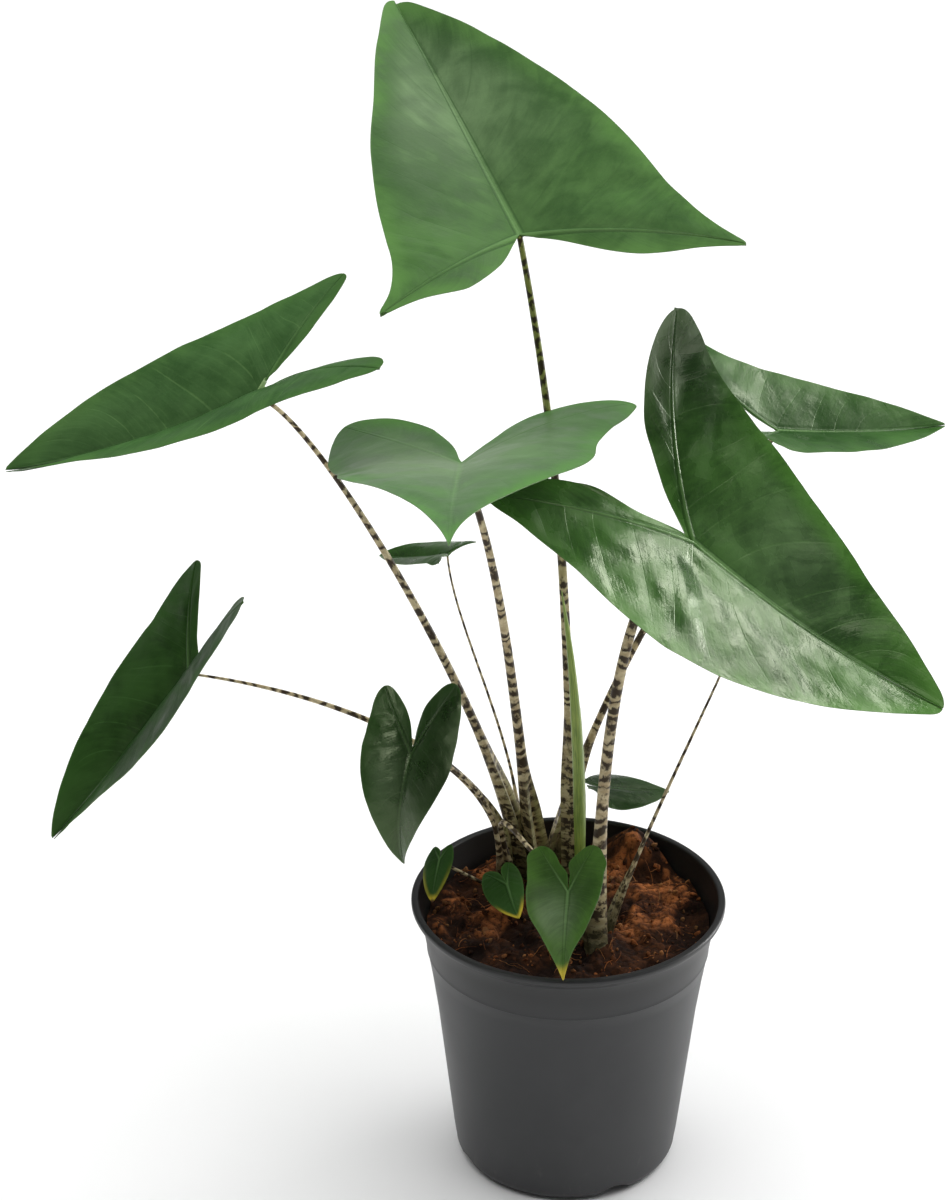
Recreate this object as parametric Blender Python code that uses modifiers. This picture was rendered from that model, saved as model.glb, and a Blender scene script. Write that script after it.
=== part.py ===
# Potted alocasia zebrina: a nursery pot filled with coir, two creeping rhizomes in it,
# thirteen banded petioles that rise from them, a heart-to-arrow shaped blade on each,
# and one rolled new leaf. Metres, +Z up; the origin is on the floor under the pot's axis.
# The plant faces -Y; +X is its right-hand side.

import math

import bmesh
import bpy
import numpy as np
from mathutils import Vector, noise

MM = 0.001

# Clearance between pieces that touch on the plant
GAP = 0.0003
SOIL_CLEARANCE = 0.0004

# Pot
POT_HEIGHT = 0.1967
POT_WALL = 0.0016
POT_SEGMENTS = 36
RIM_RADIUS = 0.105
RIM_WIDTH = 0.005
STEP_HEIGHT = 0.160
STEP_DEPTH = 0.0005
CORNER_RADIUS = 0.010
BASE_RADIUS = 0.0750
FOOT_OUTER_RADIUS = 0.0650
FOOT_INNER_RADIUS = 0.0590
FLOOR_UNDERSIDE = 0.0035
FLOOR_TOP = 0.0062
BOSS_RADIUS = 0.014
# Radius of the outer wall at heights above the rounded corner
WALL_RADII = (
    (0.1900, 0.1012),
    (0.1830, 0.0985),
    (0.1730, 0.0965),
    (STEP_HEIGHT, 0.0943),
    (0.1400, 0.0910),
    (0.1150, 0.0874),
)
NOTCH_COUNT = 4
NOTCH_FIRST_ANGLE = -66.0
NOTCH_WIDTH = 0.034
NOTCH_HEIGHT = 0.0046
NOTCH_SEGMENTS = 48
DRAIN_COUNT = 6
DRAIN_RADIUS = 0.005
DRAIN_CIRCLE = 0.040

# Soil
SOIL_HEIGHT = 0.181
SOIL_LUMP = 0.0045
SOIL_LUMP_SIZE = 0.021
SOIL_EDGE_DROP = 0.003
SOIL_RINGS = 8
SOIL_MOUND = {"at": (0.040, 0.074), "height": 0.011, "width": 0.017}

# Rhizomes: each creeps through the soil along its points
RHIZOME_DEPTH = 0.150
RHIZOMES = {
    "rhizome_left": {
        "radius": 0.0125,
        "points": ((-0.036, 0.006), (-0.041, 0.026), (-0.038, 0.044), (-0.027, 0.058), (-0.008, 0.073)),
    },
    "rhizome_right": {
        "radius": 0.0130,
        "points": ((0.013, 0.052), (0.012, 0.034), (0.011, 0.012), (0.017, -0.014), (0.019, -0.050)),
    },
}
RHIZOME_STEPS = 5

# Petioles and the new leaf
PETIOLE_STEPS = 11
TUBE_BEVEL_RESOLUTION = 2
SHEATH_SHARE = 0.30

# Blades
BLADE_THICKNESS = 0.0008
RIB_WIDTH_SHARE = 0.05
NOTCH_SHARE = 0.05
BEND_SAMPLES = 60
# The lobes droop alike this near the midrib line, so that the halves meet behind the petiole
SEAM_WIDTH = 0.08
TINY = 1e-6
WELD = 2e-5

# What a blade has unless its own entry says otherwise. Lengths along the blade are shares
# of the length from the petiole to the tip; pairs are left half, right half; angles are degrees.
COMMON_BLADE = {
    "lobe": (0.56, 0.56),
    "spread": (34, 34),
    "width": (0.40, 0.40),
    "shoulder": 0.01,
    "fold": (15, 15),
    "camber": 20,
    "droop": 5,
    "droopPower": 1.4,
    "lobeDroop": (5, 5),
    "twist": 0,
    "tipAngle": 28,
    "flare": 6,
    "lobeRound": 66,
    "bulge": 0.08,
    "ribDepth": 0.0016,
    "lift": 0.0,
    "stations": 6,
    "across": 3,
}

# at: where the petiole meets the blade, millimetres. heading: compass angle of the midrib
# from +X, pitch: above the horizon, roll: right half down. lift: how much nearer the petiole's
# end comes to a rib that the folded halves hold away. The petiole's base, its two control
# points (millimetres) and its radii at base, middle and top follow the blade.
LEAVES = {
    "top": {
        "at": (-34, 80, 638), "heading": 108, "pitch": 15, "roll": -8, "length": 0.271,
        "lobe": (0.53, 0.54), "spread": (55, 56), "width": (0.35, 0.37), "shoulder": -0.02,
        "fold": (29, 26), "camber": 23, "droop": -2, "lobeDroop": (-5, 4), "tipAngle": 33,
        "flare": 8, "lobeRound": 30, "bulge": 0.06, "ribDepth": 0.0022, "stations": 9, "across": 4,
        "base": (8, 34), "bends": ((-5, 48, 341), (4, 76, 427)), "radii": (5.0, 3.2, 2.3),
    },
    "upper_left": {
        "at": (-200, 30, 549), "heading": 180, "pitch": -25, "roll": -5, "length": 0.172,
        "lobe": (0.64, 0.61), "spread": (40, 44), "width": (0.41, 0.41), "fold": (40, 41),
        "camber": 42, "droop": -16, "droopPower": 1.2, "lobeDroop": (12, -6), "twist": -9,
        "tipAngle": 37, "bulge": 0.06, "stations": 8, "across": 4,
        "base": (-30, 50), "bends": ((-35, 43, 282), (-163, 38, 536)), "radii": (5.0, 2.9, 1.6),
    },
    "middle": {
        "at": (-71, -30, 530), "heading": 268, "pitch": 17, "roll": 11, "length": 0.241,
        "lobe": (0.66, 0.64), "spread": (45, 33), "width": (0.37, 0.34), "shoulder": 0.02,
        "fold": (15, 19), "camber": 30, "droop": 8, "droopPower": 2.1, "lobeDroop": (0, -17),
        "twist": -12, "tipAngle": 10, "flare": -2, "lobeRound": 52, "bulge": 0.12,
        "ribDepth": 0.0020, "stations": 9, "across": 4,
        "base": (-20, 58), "bends": ((-34, 36, 282), (-40, 3, 435)), "radii": (5.8, 3.4, 2.6),
    },
    "rear_right": {
        "at": (140, 140, 474), "heading": 30, "pitch": -15, "roll": 18, "length": 0.140,
        "lobe": (0.53, 0.53), "spread": (48, 42), "width": (0.33, 0.37), "shoulder": -0.01,
        "fold": (32, 29), "camber": 13, "droop": -10, "lobeDroop": (-28, -24), "twist": 5,
        "tipAngle": 27, "flare": 10, "bulge": 0.07, "stations": 8, "across": 4,
        "base": (-10, 72), "bends": ((14, 95, 289), (75, 118, 392)), "radii": (4.6, 2.6, 1.9),
    },
    "big_right": {
        "at": (76, -10, 466), "heading": 3, "pitch": -43, "roll": 33, "length": 0.205,
        "lobe": (0.77, 0.70), "spread": (34, 27), "width": (0.41, 0.45), "shoulder": 0.03,
        "fold": (25, 11), "camber": 6, "droop": -20, "droopPower": 1.3, "lobeDroop": (-23, 19),
        "tipAngle": 38, "flare": 8, "lobeRound": 55, "bulge": 0.10, "ribDepth": 0.0024,
        "lift": 0.0008,
        "stations": 9, "across": 4,
        "base": (18, -42), "bends": ((18, -4, 262), (25, -14, 451)), "radii": (6.6, 3.9, 3.0),
    },
    "rear_small": {
        "at": (-81, 120, 391), "heading": 141, "pitch": -22, "roll": -1, "length": 0.063,
        "lobe": (0.52, 0.36), "spread": (60, 58), "width": (0.38, 0.38), "fold": (34, 30),
        "camber": 52, "droop": -11, "lobeDroop": (-9, 8), "twist": -9, "tipAngle": 45,
        "flare": 4, "bulge": 0.02, "ribDepth": 0.0011,
        "base": (-36, 66), "bends": ((-18, 84, 238), (-76, 102, 338)), "radii": (2.4, 1.2, 0.9),
    },
    "right_small": {
        "at": (26, 100, 223), "heading": 12, "pitch": -14, "roll": 1, "length": 0.048,
        "lobe": (0.34, 0.34), "spread": (30, 30), "width": (0.45, 0.50), "shoulder": 0.08,
        "fold": (9, 10), "camber": 33, "droop": -7, "lobeDroop": (9, -20), "twist": 9,
        "tipAngle": 43, "flare": -4, "lobeRound": 61, "ribDepth": 0.0011,
        "base": (22, 44), "bends": ((24, 58, 205), (22, 80, 222)), "radii": (2.6, 1.6, 1.2),
    },
    "lower_left": {
        "at": (-248, 0, 366), "heading": 195, "pitch": -51, "roll": 0, "length": 0.145,
        "lobe": (0.56, 0.57), "spread": (38, 48), "width": (0.42, 0.38), "shoulder": 0.02,
        "fold": (37, 37), "camber": 37, "droop": -3, "lobeDroop": (1, -8), "twist": -12,
        "tipAngle": 41, "stations": 8, "across": 4,
        "base": (-42, 44), "bends": ((-31, 30, 287), (-161, 16, 344)), "radii": (3.6, 1.4, 0.9),
    },
    "dark_heart": {
        "at": (-104, -20, 317), "heading": 240, "pitch": -60, "roll": 1, "length": 0.081,
        "lobe": (0.68, 0.59), "spread": (22, 36), "width": (0.41, 0.42), "shoulder": 0.05,
        "fold": (24, 26), "camber": 29, "droop": 55, "droopPower": 1.5, "lobeDroop": (5, -2),
        "twist": 2, "tipAngle": 22, "bulge": 0.11, "ribDepth": 0.0012, "stations": 7,
        "base": (-46, 34), "bends": ((-43, 17, 244), (-66, -1, 291)), "radii": (3.0, 1.6, 1.1),
    },
    "hidden": {
        "at": (107, 40, 363), "heading": 20, "pitch": -20, "roll": 5, "length": 0.058,
        "fold": (16, 16), "ribDepth": 0.0011,
        "base": (26, -21), "bends": ((42, -1, 227), (79, 20, 301)), "radii": (3.6, 1.5, 0.9),
    },
    "front": {
        "at": (-2, -62, 238), "heading": 264, "pitch": -29, "roll": 15, "length": 0.063,
        "lobe": (0.58, 0.62), "spread": (28, 35), "width": (0.40, 0.43), "fold": (19, 20),
        "camber": 15, "droop": 13, "lobeDroop": (0, 2), "twist": 11, "tipAngle": 20,
        "flare": 4, "lobeRound": 80, "bulge": 0.12, "ribDepth": 0.0012, "stations": 7,
        "base": (-32, 29), "bends": ((-62, 41, 271), (-36, -4, 246)), "radii": (2.5, 1.8, 1.5),
    },
    "yellow_edge": {
        "at": (-41, -4, 208), "heading": 283, "pitch": -20, "roll": 6, "length": 0.040,
        "lobe": (0.57, 0.57), "spread": (15, 36), "width": (0.28, 0.42), "shoulder": -0.01,
        "fold": (-5, -14), "camber": 14, "droop": -40, "lobeDroop": (14, 13), "tipAngle": 19,
        "bulge": 0.12, "ribDepth": 0.0011,
        "base": (-31, 22), "bends": ((-33, 14, 193), (-38, 6, 199)), "radii": (2.2, 1.5, 1.1),
    },
    "rim": {
        "at": (-86, 10, 219), "heading": 256, "pitch": -33, "roll": 22, "length": 0.031,
        "lobe": (0.43, 0.41), "spread": (32, 35), "width": (0.35, 0.40), "shoulder": 0.05,
        "fold": (10, 6), "camber": 25, "droop": 13, "tipAngle": 45, "flare": -2,
        "bulge": 0.10, "ribDepth": 0.0010,
        "base": (-38, 15), "bends": ((-53, 15, 199), (-72, 12, 206)), "radii": (1.9, 1.3, 1.0),
    },
}

# The rolled new leaf: base and control points in millimetres
NEW_LEAF = {
    "base": (8, 18), "bends": ((8, 22, 258), (6, 26, 335)), "point": (-6, 30, 410),
    "radii": (3.4, 4.0, 0.4),
}

COLOURS = {
    "pot": (0.055, 0.058, 0.060),
    "soil": (0.130, 0.045, 0.018),
    "rhizome": (0.110, 0.075, 0.040),
    "petiole": (0.330, 0.280, 0.150),
    "newLeaf": (0.220, 0.380, 0.070),
    "blade": (0.035, 0.120, 0.035),
    "lightBlade": (0.080, 0.200, 0.060),
}
LIGHT_BLADES = ("top", "middle", "front")


def clearScene():
    for obj in list(bpy.data.objects):
        bpy.data.objects.remove(obj, do_unlink=True)


def newCollection(name, hidden=False):
    collection = bpy.data.collections.new(name)
    bpy.context.scene.collection.children.link(collection)
    collection.hide_render = hidden
    return collection


def material(name, colour, roughness):
    made = bpy.data.materials.get(name)
    if made:
        return made
    made = bpy.data.materials.new(name)
    made.use_nodes = True
    shader = made.node_tree.nodes["Principled BSDF"]
    shader.inputs["Base Color"].default_value = (*colour, 1.0)
    shader.inputs["Roughness"].default_value = roughness
    shader.inputs["Metallic"].default_value = 0.0
    return made


def addMesh(name, mesh, collection, finish=None):
    obj = bpy.data.objects.new(name, mesh)
    collection.objects.link(obj)
    if finish:
        mesh.materials.append(finish)
    return obj


def evaluatedMesh(obj):
    bpy.context.view_layer.update()
    graph = bpy.context.evaluated_depsgraph_get()
    return bpy.data.meshes.new_from_object(obj.evaluated_get(graph))


def weld(mesh):
    shape = bmesh.new()
    shape.from_mesh(mesh)
    bmesh.ops.remove_doubles(shape, verts=shape.verts, dist=1e-6)
    shape.to_mesh(mesh)
    shape.free()


def smooth(mesh, angle=math.radians(40)):
    mesh.shade_smooth()
    mesh.set_sharp_from_angle(angle=angle)


# Turned shapes


def turned(name, profile, segments, collection, finish=None):
    """A profile of (radius, height) points turned round +Z by a Screw modifier."""
    mesh = bpy.data.meshes.new(name)
    points = [(radius, 0.0, height) for radius, height in profile]
    mesh.from_pydata(points, [(i, i + 1) for i in range(len(points) - 1)], [])
    obj = addMesh(name, mesh, collection, finish)
    screw = obj.modifiers.new("Turn", "SCREW")
    screw.steps = screw.render_steps = segments
    screw.use_merge_vertices = True
    screw.merge_threshold = 0.00001
    screw.use_smooth_shade = True
    return obj


def wallRadius(height):
    """Outer radius of the pot's wall at a height."""
    table = sorted(WALL_RADII + ((CORNER_RADIUS, BASE_RADIUS + 0.0004),))
    heights, radii = zip(*table)
    return float(np.interp(height, heights, radii))


def potProfile():
    """From the floor inside, up the inner wall, over the rolled lip and down the outside."""
    inner = [(0.0, FLOOR_TOP), (wallRadius(CORNER_RADIUS) - POT_WALL - 0.006, FLOOR_TOP)]
    inner += [(wallRadius(0.014) - POT_WALL - 0.0004, 0.0135)]
    heights = sorted({height for height, _ in WALL_RADII})
    inner += [(wallRadius(height) - POT_WALL, height) for height in heights[:-1]]
    lipInside = RIM_RADIUS - RIM_WIDTH
    lip = [
        (lipInside - 0.0006, POT_HEIGHT - 0.0040),
        (lipInside, POT_HEIGHT - 0.0014),
        (lipInside + 0.0012, POT_HEIGHT),
        (RIM_RADIUS - 0.0013, POT_HEIGHT),
        (RIM_RADIUS, POT_HEIGHT - 0.0015),
        (RIM_RADIUS, POT_HEIGHT - 0.0058),
        (RIM_RADIUS - 0.0010, POT_HEIGHT - 0.0070),
    ]
    outer = []
    for height in reversed(heights):
        if height == STEP_HEIGHT:
            outer.append((wallRadius(height) + STEP_DEPTH, height + 0.0004))
        outer.append((wallRadius(height), height))
    corner = []
    for turn in (0, 30, 60, 90):
        angle = math.radians(turn)
        corner.append(
            (
                BASE_RADIUS - CORNER_RADIUS * (1 - math.cos(angle)),
                CORNER_RADIUS * (1 - math.sin(angle)),
            )
        )
    foot = [
        (FOOT_INNER_RADIUS, 0.0),
        (FOOT_INNER_RADIUS - 0.001, FLOOR_UNDERSIDE),
        (BOSS_RADIUS + 0.001, FLOOR_UNDERSIDE),
        (BOSS_RADIUS, 0.0),
        (0.0, 0.0),
    ]
    return inner + lip + outer + corner + foot


def notchCutters(cutters):
    """Wide shallow arcs that let water out under the foot."""
    radius = (NOTCH_WIDTH**2 / 4 + NOTCH_HEIGHT**2) / (2 * NOTCH_HEIGHT)
    length = BASE_RADIUS - FOOT_INNER_RADIUS + 0.006
    made = []
    for number in range(NOTCH_COUNT):
        angle = math.radians(NOTCH_FIRST_ANGLE + 360 / NOTCH_COUNT * number)
        middle = FOOT_INNER_RADIUS - 0.003 + length / 2
        mesh = bpy.data.meshes.new("notch")
        shape = bmesh.new()
        bmesh.ops.create_cone(
            shape, cap_ends=True, segments=NOTCH_SEGMENTS, radius1=radius, radius2=radius, depth=length
        )
        shape.to_mesh(mesh)
        shape.free()
        cutter = addMesh(f"notch_{number}", mesh, cutters)
        cutter.rotation_euler = (0.0, math.pi / 2, angle)
        cutter.location = (
            middle * math.cos(angle), middle * math.sin(angle), NOTCH_HEIGHT - radius
        )
        made.append(cutter)
    return made


def drainCutters(cutters):
    made = []
    for number in range(DRAIN_COUNT):
        angle = 2 * math.pi * number / DRAIN_COUNT
        mesh = bpy.data.meshes.new("drain")
        shape = bmesh.new()
        bmesh.ops.create_cone(
            shape, cap_ends=True, segments=12, radius1=DRAIN_RADIUS, radius2=DRAIN_RADIUS,
            depth=0.03,
        )
        shape.to_mesh(mesh)
        shape.free()
        cutter = addMesh(f"drain_{number}", mesh, cutters)
        cutter.location = (DRAIN_CIRCLE * math.cos(angle), DRAIN_CIRCLE * math.sin(angle), 0.0)
        made.append(cutter)
    return made


def cut(obj, cutter):
    cutter.hide_render = True
    cutter.display_type = "WIRE"
    boolean = obj.modifiers.new(cutter.name, "BOOLEAN")
    boolean.operation = "DIFFERENCE"
    boolean.object = cutter


def makePot(parts, cutters):
    finish = material("pot_plastic", COLOURS["pot"], 0.5)
    pot = turned("pot", potProfile(), POT_SEGMENTS, parts, finish)
    for cutter in notchCutters(cutters) + drainCutters(cutters):
        cut(pot, cutter)
    return pot


# Tubes: rhizomes, petioles and the new leaf


def bezier(start, first, second, end, count):
    share = np.linspace(0.0, 1.0, count)[:, None]
    rest = 1 - share
    return (
        rest**3 * start + 3 * rest**2 * share * first + 3 * rest * share**2 * second + share**3 * end
    )


def tube(name, points, radii, collection, finish=None):
    """A tube through the points, with its own radius at each, as a welded mesh."""
    curve = bpy.data.curves.new(name, "CURVE")
    curve.dimensions = "3D"
    curve.bevel_depth = 1.0
    curve.bevel_resolution = TUBE_BEVEL_RESOLUTION
    curve.use_fill_caps = True
    spline = curve.splines.new("POLY")
    spline.points.add(len(points) - 1)
    for place, point, radius in zip(spline.points, points, radii):
        place.co = (*point, 1.0)
        place.radius = radius
    helper = bpy.data.objects.new(name + "_curve", curve)
    collection.objects.link(helper)
    mesh = evaluatedMesh(helper)
    bpy.data.objects.remove(helper, do_unlink=True)
    weld(mesh)
    smooth(mesh)
    return addMesh(name, mesh, collection, finish)


def rhizomeRoute(shape):
    """Centre points and radii, with a slight swelling between its leaf scars."""
    corners = np.array(shape["points"])
    stations = np.linspace(0, len(corners) - 1, (len(corners) - 1) * RHIZOME_STEPS + 1)
    flat = np.column_stack([np.interp(stations, range(len(corners)), corners[:, i]) for i in (0, 1)])
    route = np.column_stack([flat, np.full(len(flat), RHIZOME_DEPTH)])
    swell = 1 + 0.04 * np.cos(stations * 2 * math.pi)
    ends = np.clip(np.minimum(stations, stations[-1] - stations) / 0.5, 0.0, 1.0)
    radii = shape["radius"] * swell * (0.55 + 0.45 * np.sqrt(ends))
    return route, radii


def seatHeight(place, radius):
    """Height at which a petiole of this radius stands on the rhizome below it."""
    best = 0.0
    for shape in RHIZOMES.values():
        route, radii = rhizomeRoute(shape)
        away = np.maximum(np.hypot(*(route[:, :2] - place).T) - radius, 0.0)
        under = away < radii
        if under.any():
            tops = route[under, 2] + np.sqrt(radii[under] ** 2 - away[under] ** 2)
            best = max(best, float(tops.max()))
    return best + GAP


def petioleRoute(leaf, top):
    """From its seat on the rhizome, up through the soil and along its curve to the top."""
    base = np.array((*leaf["base"], SOIL_HEIGHT / MM)) * MM
    first, second = (np.array(bend) * MM for bend in leaf["bends"])
    curve = bezier(base, first, second, top, PETIOLE_STEPS)
    atBase, atMiddle, atTop = (radius * MM for radius in leaf["radii"])
    foot = np.array((base[0], base[1], seatHeight(base[:2], atBase)))
    lengths = np.concatenate([[0.0], np.cumsum(np.linalg.norm(np.diff(curve, axis=0), axis=1))])
    share = lengths / lengths[-1]
    radii = np.interp(share, (0.0, SHEATH_SHARE, 1.0), (atBase, atMiddle, atTop))
    return np.vstack([foot, curve]), np.concatenate([[atBase], radii])


# Blades


def hermite(start, end, leave, arrive, share):
    share = share[:, None]
    return (
        (2 * share**3 - 3 * share**2 + 1) * start
        + (share**3 - 2 * share**2 + share) * leave
        + (3 * share**2 - 2 * share**3) * end
        + (share**3 - share**2) * arrive
    )


def flatMargins(leaf, side):
    """One half laid flat: the outer margin from tip to lobe end, then the inner one to the notch."""
    spread, flare = math.radians(leaf["spread"][side]), math.radians(leaf["flare"])
    tipAngle, lobeRound = math.radians(leaf["tipAngle"]), math.radians(leaf["lobeRound"])
    lobe = leaf["lobe"][side]
    along = np.array((math.sin(spread), -math.cos(spread)))
    inward = np.array((-math.cos(spread), -math.sin(spread)))
    tip, lobeEnd = np.array((0.0, 1.0)), lobe * along
    notch = np.array((0.0, -NOTCH_SHARE))
    widest = np.array((leaf["width"][side], leaf["shoulder"]))
    atTip = np.array((math.sin(tipAngle), -math.cos(tipAngle)))
    atWidest = np.array((math.sin(flare), -math.cos(flare)))
    intoEnd = math.cos(lobeRound) * along + math.sin(lobeRound) * inward
    fromEnd = -math.cos(lobeRound) * along + math.sin(lobeRound) * inward
    toWidest, toEnd = np.linalg.norm(tip - widest), np.linalg.norm(widest - lobeEnd)
    share = np.linspace(0.0, 1.0, leaf["stations"])
    front = hermite(tip, widest, atTip * toWidest, atWidest * toWidest * 0.9, share)
    back = hermite(widest, lobeEnd, atWidest * toEnd * 0.9, intoEnd * lobe * 0.9, share)
    middle = along * lobe * 0.55 + inward * leaf["bulge"]
    toMiddle, toNotch = np.linalg.norm(lobeEnd - middle), np.linalg.norm(middle - notch)
    half = (leaf["stations"] + 1) // 2
    share = np.linspace(0.0, 1.0, half)
    inner = hermite(lobeEnd, middle, fromEnd * lobe * 0.45, -along * toMiddle * 0.8, share)
    share = np.linspace(0.0, 1.0, leaf["stations"] + 1 - half)
    closing = hermite(middle, notch, -along * toNotch * 0.9, (notch - middle) * 0.9, share)
    return np.vstack([front, back[1:]]), np.vstack([inner, closing[1:]])


def bendBlade(flat, leaf, side):
    """Folds, cups, droops and twists flat points of one half. Returns right, forward, up."""
    across, along = flat[:, 0], flat[:, 1]
    fold = math.radians(leaf["fold"][side])
    curl = math.radians(leaf["camber"]) / max(leaf["width"])
    outward = (math.sin(fold) - np.sin(fold - curl * across)) / curl
    rise = (np.cos(fold - curl * across) - math.cos(fold)) / curl
    droop, power = math.radians(leaf["droop"]), leaf["droopPower"]
    own, shared = leaf["lobeDroop"][side], sum(leaf["lobeDroop"]) / 2
    apart = np.clip(across / SEAM_WIDTH, 0.0, 1.0)
    lobeCurl = 2 * np.radians(shared + (own - shared) * apart) + TINY
    sample = np.linspace(0.0, 1.05, BEND_SAMPLES)
    slope = droop * sample**power
    step = np.diff(sample)
    reach = np.concatenate([[0.0], np.cumsum((np.cos(slope[1:]) + np.cos(slope[:-1])) / 2 * step)])
    fall = np.concatenate([[0.0], np.cumsum((np.sin(slope[1:]) + np.sin(slope[:-1])) / 2 * step)])
    ahead = np.clip(along, 0.0, 1.05)
    behind = np.minimum(along, 0.0)
    forward = np.interp(ahead, sample, reach) + np.sin(lobeCurl * behind) / lobeCurl
    height = -np.interp(ahead, sample, fall) + (np.cos(lobeCurl * behind) - 1) / lobeCurl
    tilt = np.where(along >= 0, droop * ahead**power, lobeCurl * behind)
    turn = math.radians(leaf["twist"]) * along
    outward = outward if side else -outward
    right = outward * np.cos(turn) + rise * np.sin(turn)
    up = -outward * np.sin(turn) + rise * np.cos(turn)
    return np.column_stack([right, forward + up * np.sin(tilt), height + up * np.cos(tilt)])


def bladeAxes(leaf):
    """Unit vectors of a blade: to its right, forward along the midrib, and up."""
    heading, pitch, roll = (math.radians(leaf[key]) for key in ("heading", "pitch", "roll"))
    forward = Vector(
        (
            math.cos(heading) * math.cos(pitch),
            math.sin(heading) * math.cos(pitch),
            math.sin(pitch),
        )
    )
    level = Vector((math.sin(heading), -math.cos(heading), 0.0))
    upright = level.cross(forward)
    right = level * math.cos(roll) + forward.cross(level) * math.sin(roll)
    up = upright * math.cos(roll) + forward.cross(upright) * math.sin(roll)
    return np.array((right, forward, up))


def placed(points, leaf):
    return np.array(leaf["at"]) * MM + leaf["length"] * (points @ bladeAxes(leaf))


def ribLine(leaf, side, outerCount):
    """Flat points along the midrib from the tip to the petiole, then out to the lobe's end."""
    ahead = (outerCount + 1) // 2
    spread = math.radians(leaf["spread"][side])
    lobeEnd = leaf["lobe"][side] * np.array((math.sin(spread), -math.cos(spread)))
    midrib = np.column_stack([np.zeros(ahead), np.linspace(1.0, 0.0, ahead)])
    lobeRib = np.linspace(0.0, 1.0, outerCount - ahead + 1)[1:, None] * lobeEnd
    return np.vstack([midrib, lobeRib]), lobeEnd


def bladePanels(leaf, side):
    """Rows of points of one half: rows run along the ribs, from the rib out to a margin."""
    outer, inner = flatMargins(leaf, side)
    rib, lobeEnd = ribLine(leaf, side, len(outer))
    shares = np.concatenate([[0.0, RIB_WIDTH_SHARE], np.linspace(0.0, 1.0, leaf["across"])[1:]])
    panels = [[bendBlade(rib * (1 - s) + outer * s, leaf, side) for s in shares]]
    rib = np.linspace(1.0, 0.0, len(inner))[:, None] * lobeEnd
    shares = (0.0, 0.5, 1.0)
    panels.append([bendBlade(rib * (1 - s) + inner * s, leaf, side) for s in shares])
    return panels


def bladeSurface(name, leaf):
    """The blade's upper surface in triangles, and the numbers of its vertices along the ribs."""
    shape = bmesh.new()
    ribs = []
    for side in (0, 1):
        for rows in bladePanels(leaf, side):
            rows = [placed(row, leaf) for row in rows]
            ribs.append(rows[0])
            grid = [[shape.verts.new(point) for point in row] for row in rows]
            for near, far in zip(grid, grid[1:]):
                for i in range(len(near) - 1):
                    ring = [near[i], near[i + 1], far[i + 1], far[i]]
                    shape.faces.new(ring if side else ring[::-1])
    bmesh.ops.remove_doubles(shape, verts=shape.verts, dist=WELD)
    bmesh.ops.triangulate(shape, faces=shape.faces)
    mesh = bpy.data.meshes.new(name)
    shape.to_mesh(mesh)
    shape.free()
    ribs = np.vstack(ribs)
    onRib = [
        vertex.index
        for vertex in mesh.vertices
        if np.linalg.norm(ribs - np.array(vertex.co), axis=1).min() < 2 * WELD
    ]
    return mesh, onRib


def makeBlade(name, leaf, parts, finish):
    mesh, ribIndices = bladeSurface(name, leaf)
    blade = addMesh(name, mesh, parts, finish)
    tip = placed(bendBlade(np.array([(0.0, 1.0)]), leaf, 1), leaf)[0]
    group = blade.vertex_groups.new(name="ribs")
    for index in ribIndices:
        away = np.linalg.norm(np.array(mesh.vertices[index].co) - tip) / leaf["length"]
        group.add([index], min(1.0, away), "REPLACE")
    shell = blade.modifiers.new("Thickness", "SOLIDIFY")
    shell.thickness = leaf["ribDepth"]
    shell.offset = -1.0
    shell.vertex_group = "ribs"
    shell.thickness_vertex_group = BLADE_THICKNESS / leaf["ribDepth"]
    smooth(mesh)
    return blade


def petioleTop(leaf):
    """The centre of the petiole's end, just under the rib where the blade's halves meet."""
    up = bladeAxes(leaf)[2]
    place = np.array(leaf["at"]) * MM
    direction = place - np.array(leaf["bends"][1]) * MM
    direction /= np.linalg.norm(direction)
    slant = math.sqrt(max(0.0, 1 - float(direction @ up) ** 2))
    drop = leaf["ribDepth"] + GAP + leaf["radii"][2] * MM * slant - leaf["lift"]
    return place - up * drop


def makeLeaves(parts):
    """Blades and petioles. Returns each petiole's route for the holes in the soil."""
    routes = {}
    petioleFinish = material("petiole", COLOURS["petiole"], 0.5)
    for name, own in LEAVES.items():
        leaf = {**COMMON_BLADE, **own}
        if name in LIGHT_BLADES:
            finish = material("blade_light", COLOURS["lightBlade"], 0.35)
        else:
            finish = material("blade", COLOURS["blade"], 0.3)
        makeBlade(f"leaf_{name}", leaf, parts, finish)
        routes[name] = petioleRoute(leaf, petioleTop(leaf))
        tube(f"petiole_{name}", *routes[name], parts, petioleFinish)
    return routes


def makeNewLeaf(parts):
    """The rolled spear, pointed at its top."""
    route, radii = petioleRoute(NEW_LEAF, np.array(NEW_LEAF["point"]) * MM)
    finish = material("new_leaf", COLOURS["newLeaf"], 0.4)
    tube("new_leaf", route, radii, parts, finish)
    return route, radii


def makeRhizomes(parts, cutters):
    finish = material("rhizome", COLOURS["rhizome"], 0.8)
    made = []
    for name, shape in RHIZOMES.items():
        route, radii = rhizomeRoute(shape)
        tube(name, route, radii, parts, finish)
        ends = route.copy()
        for end, inside in ((0, 1), (-1, -2)):
            ends[end] += (route[end] - route[inside]) / np.linalg.norm(route[end] - route[inside]) * GAP
        made.append(tube(f"{name}_cavity", ends, radii + SOIL_CLEARANCE, cutters))
    return made


# Soil


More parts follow.
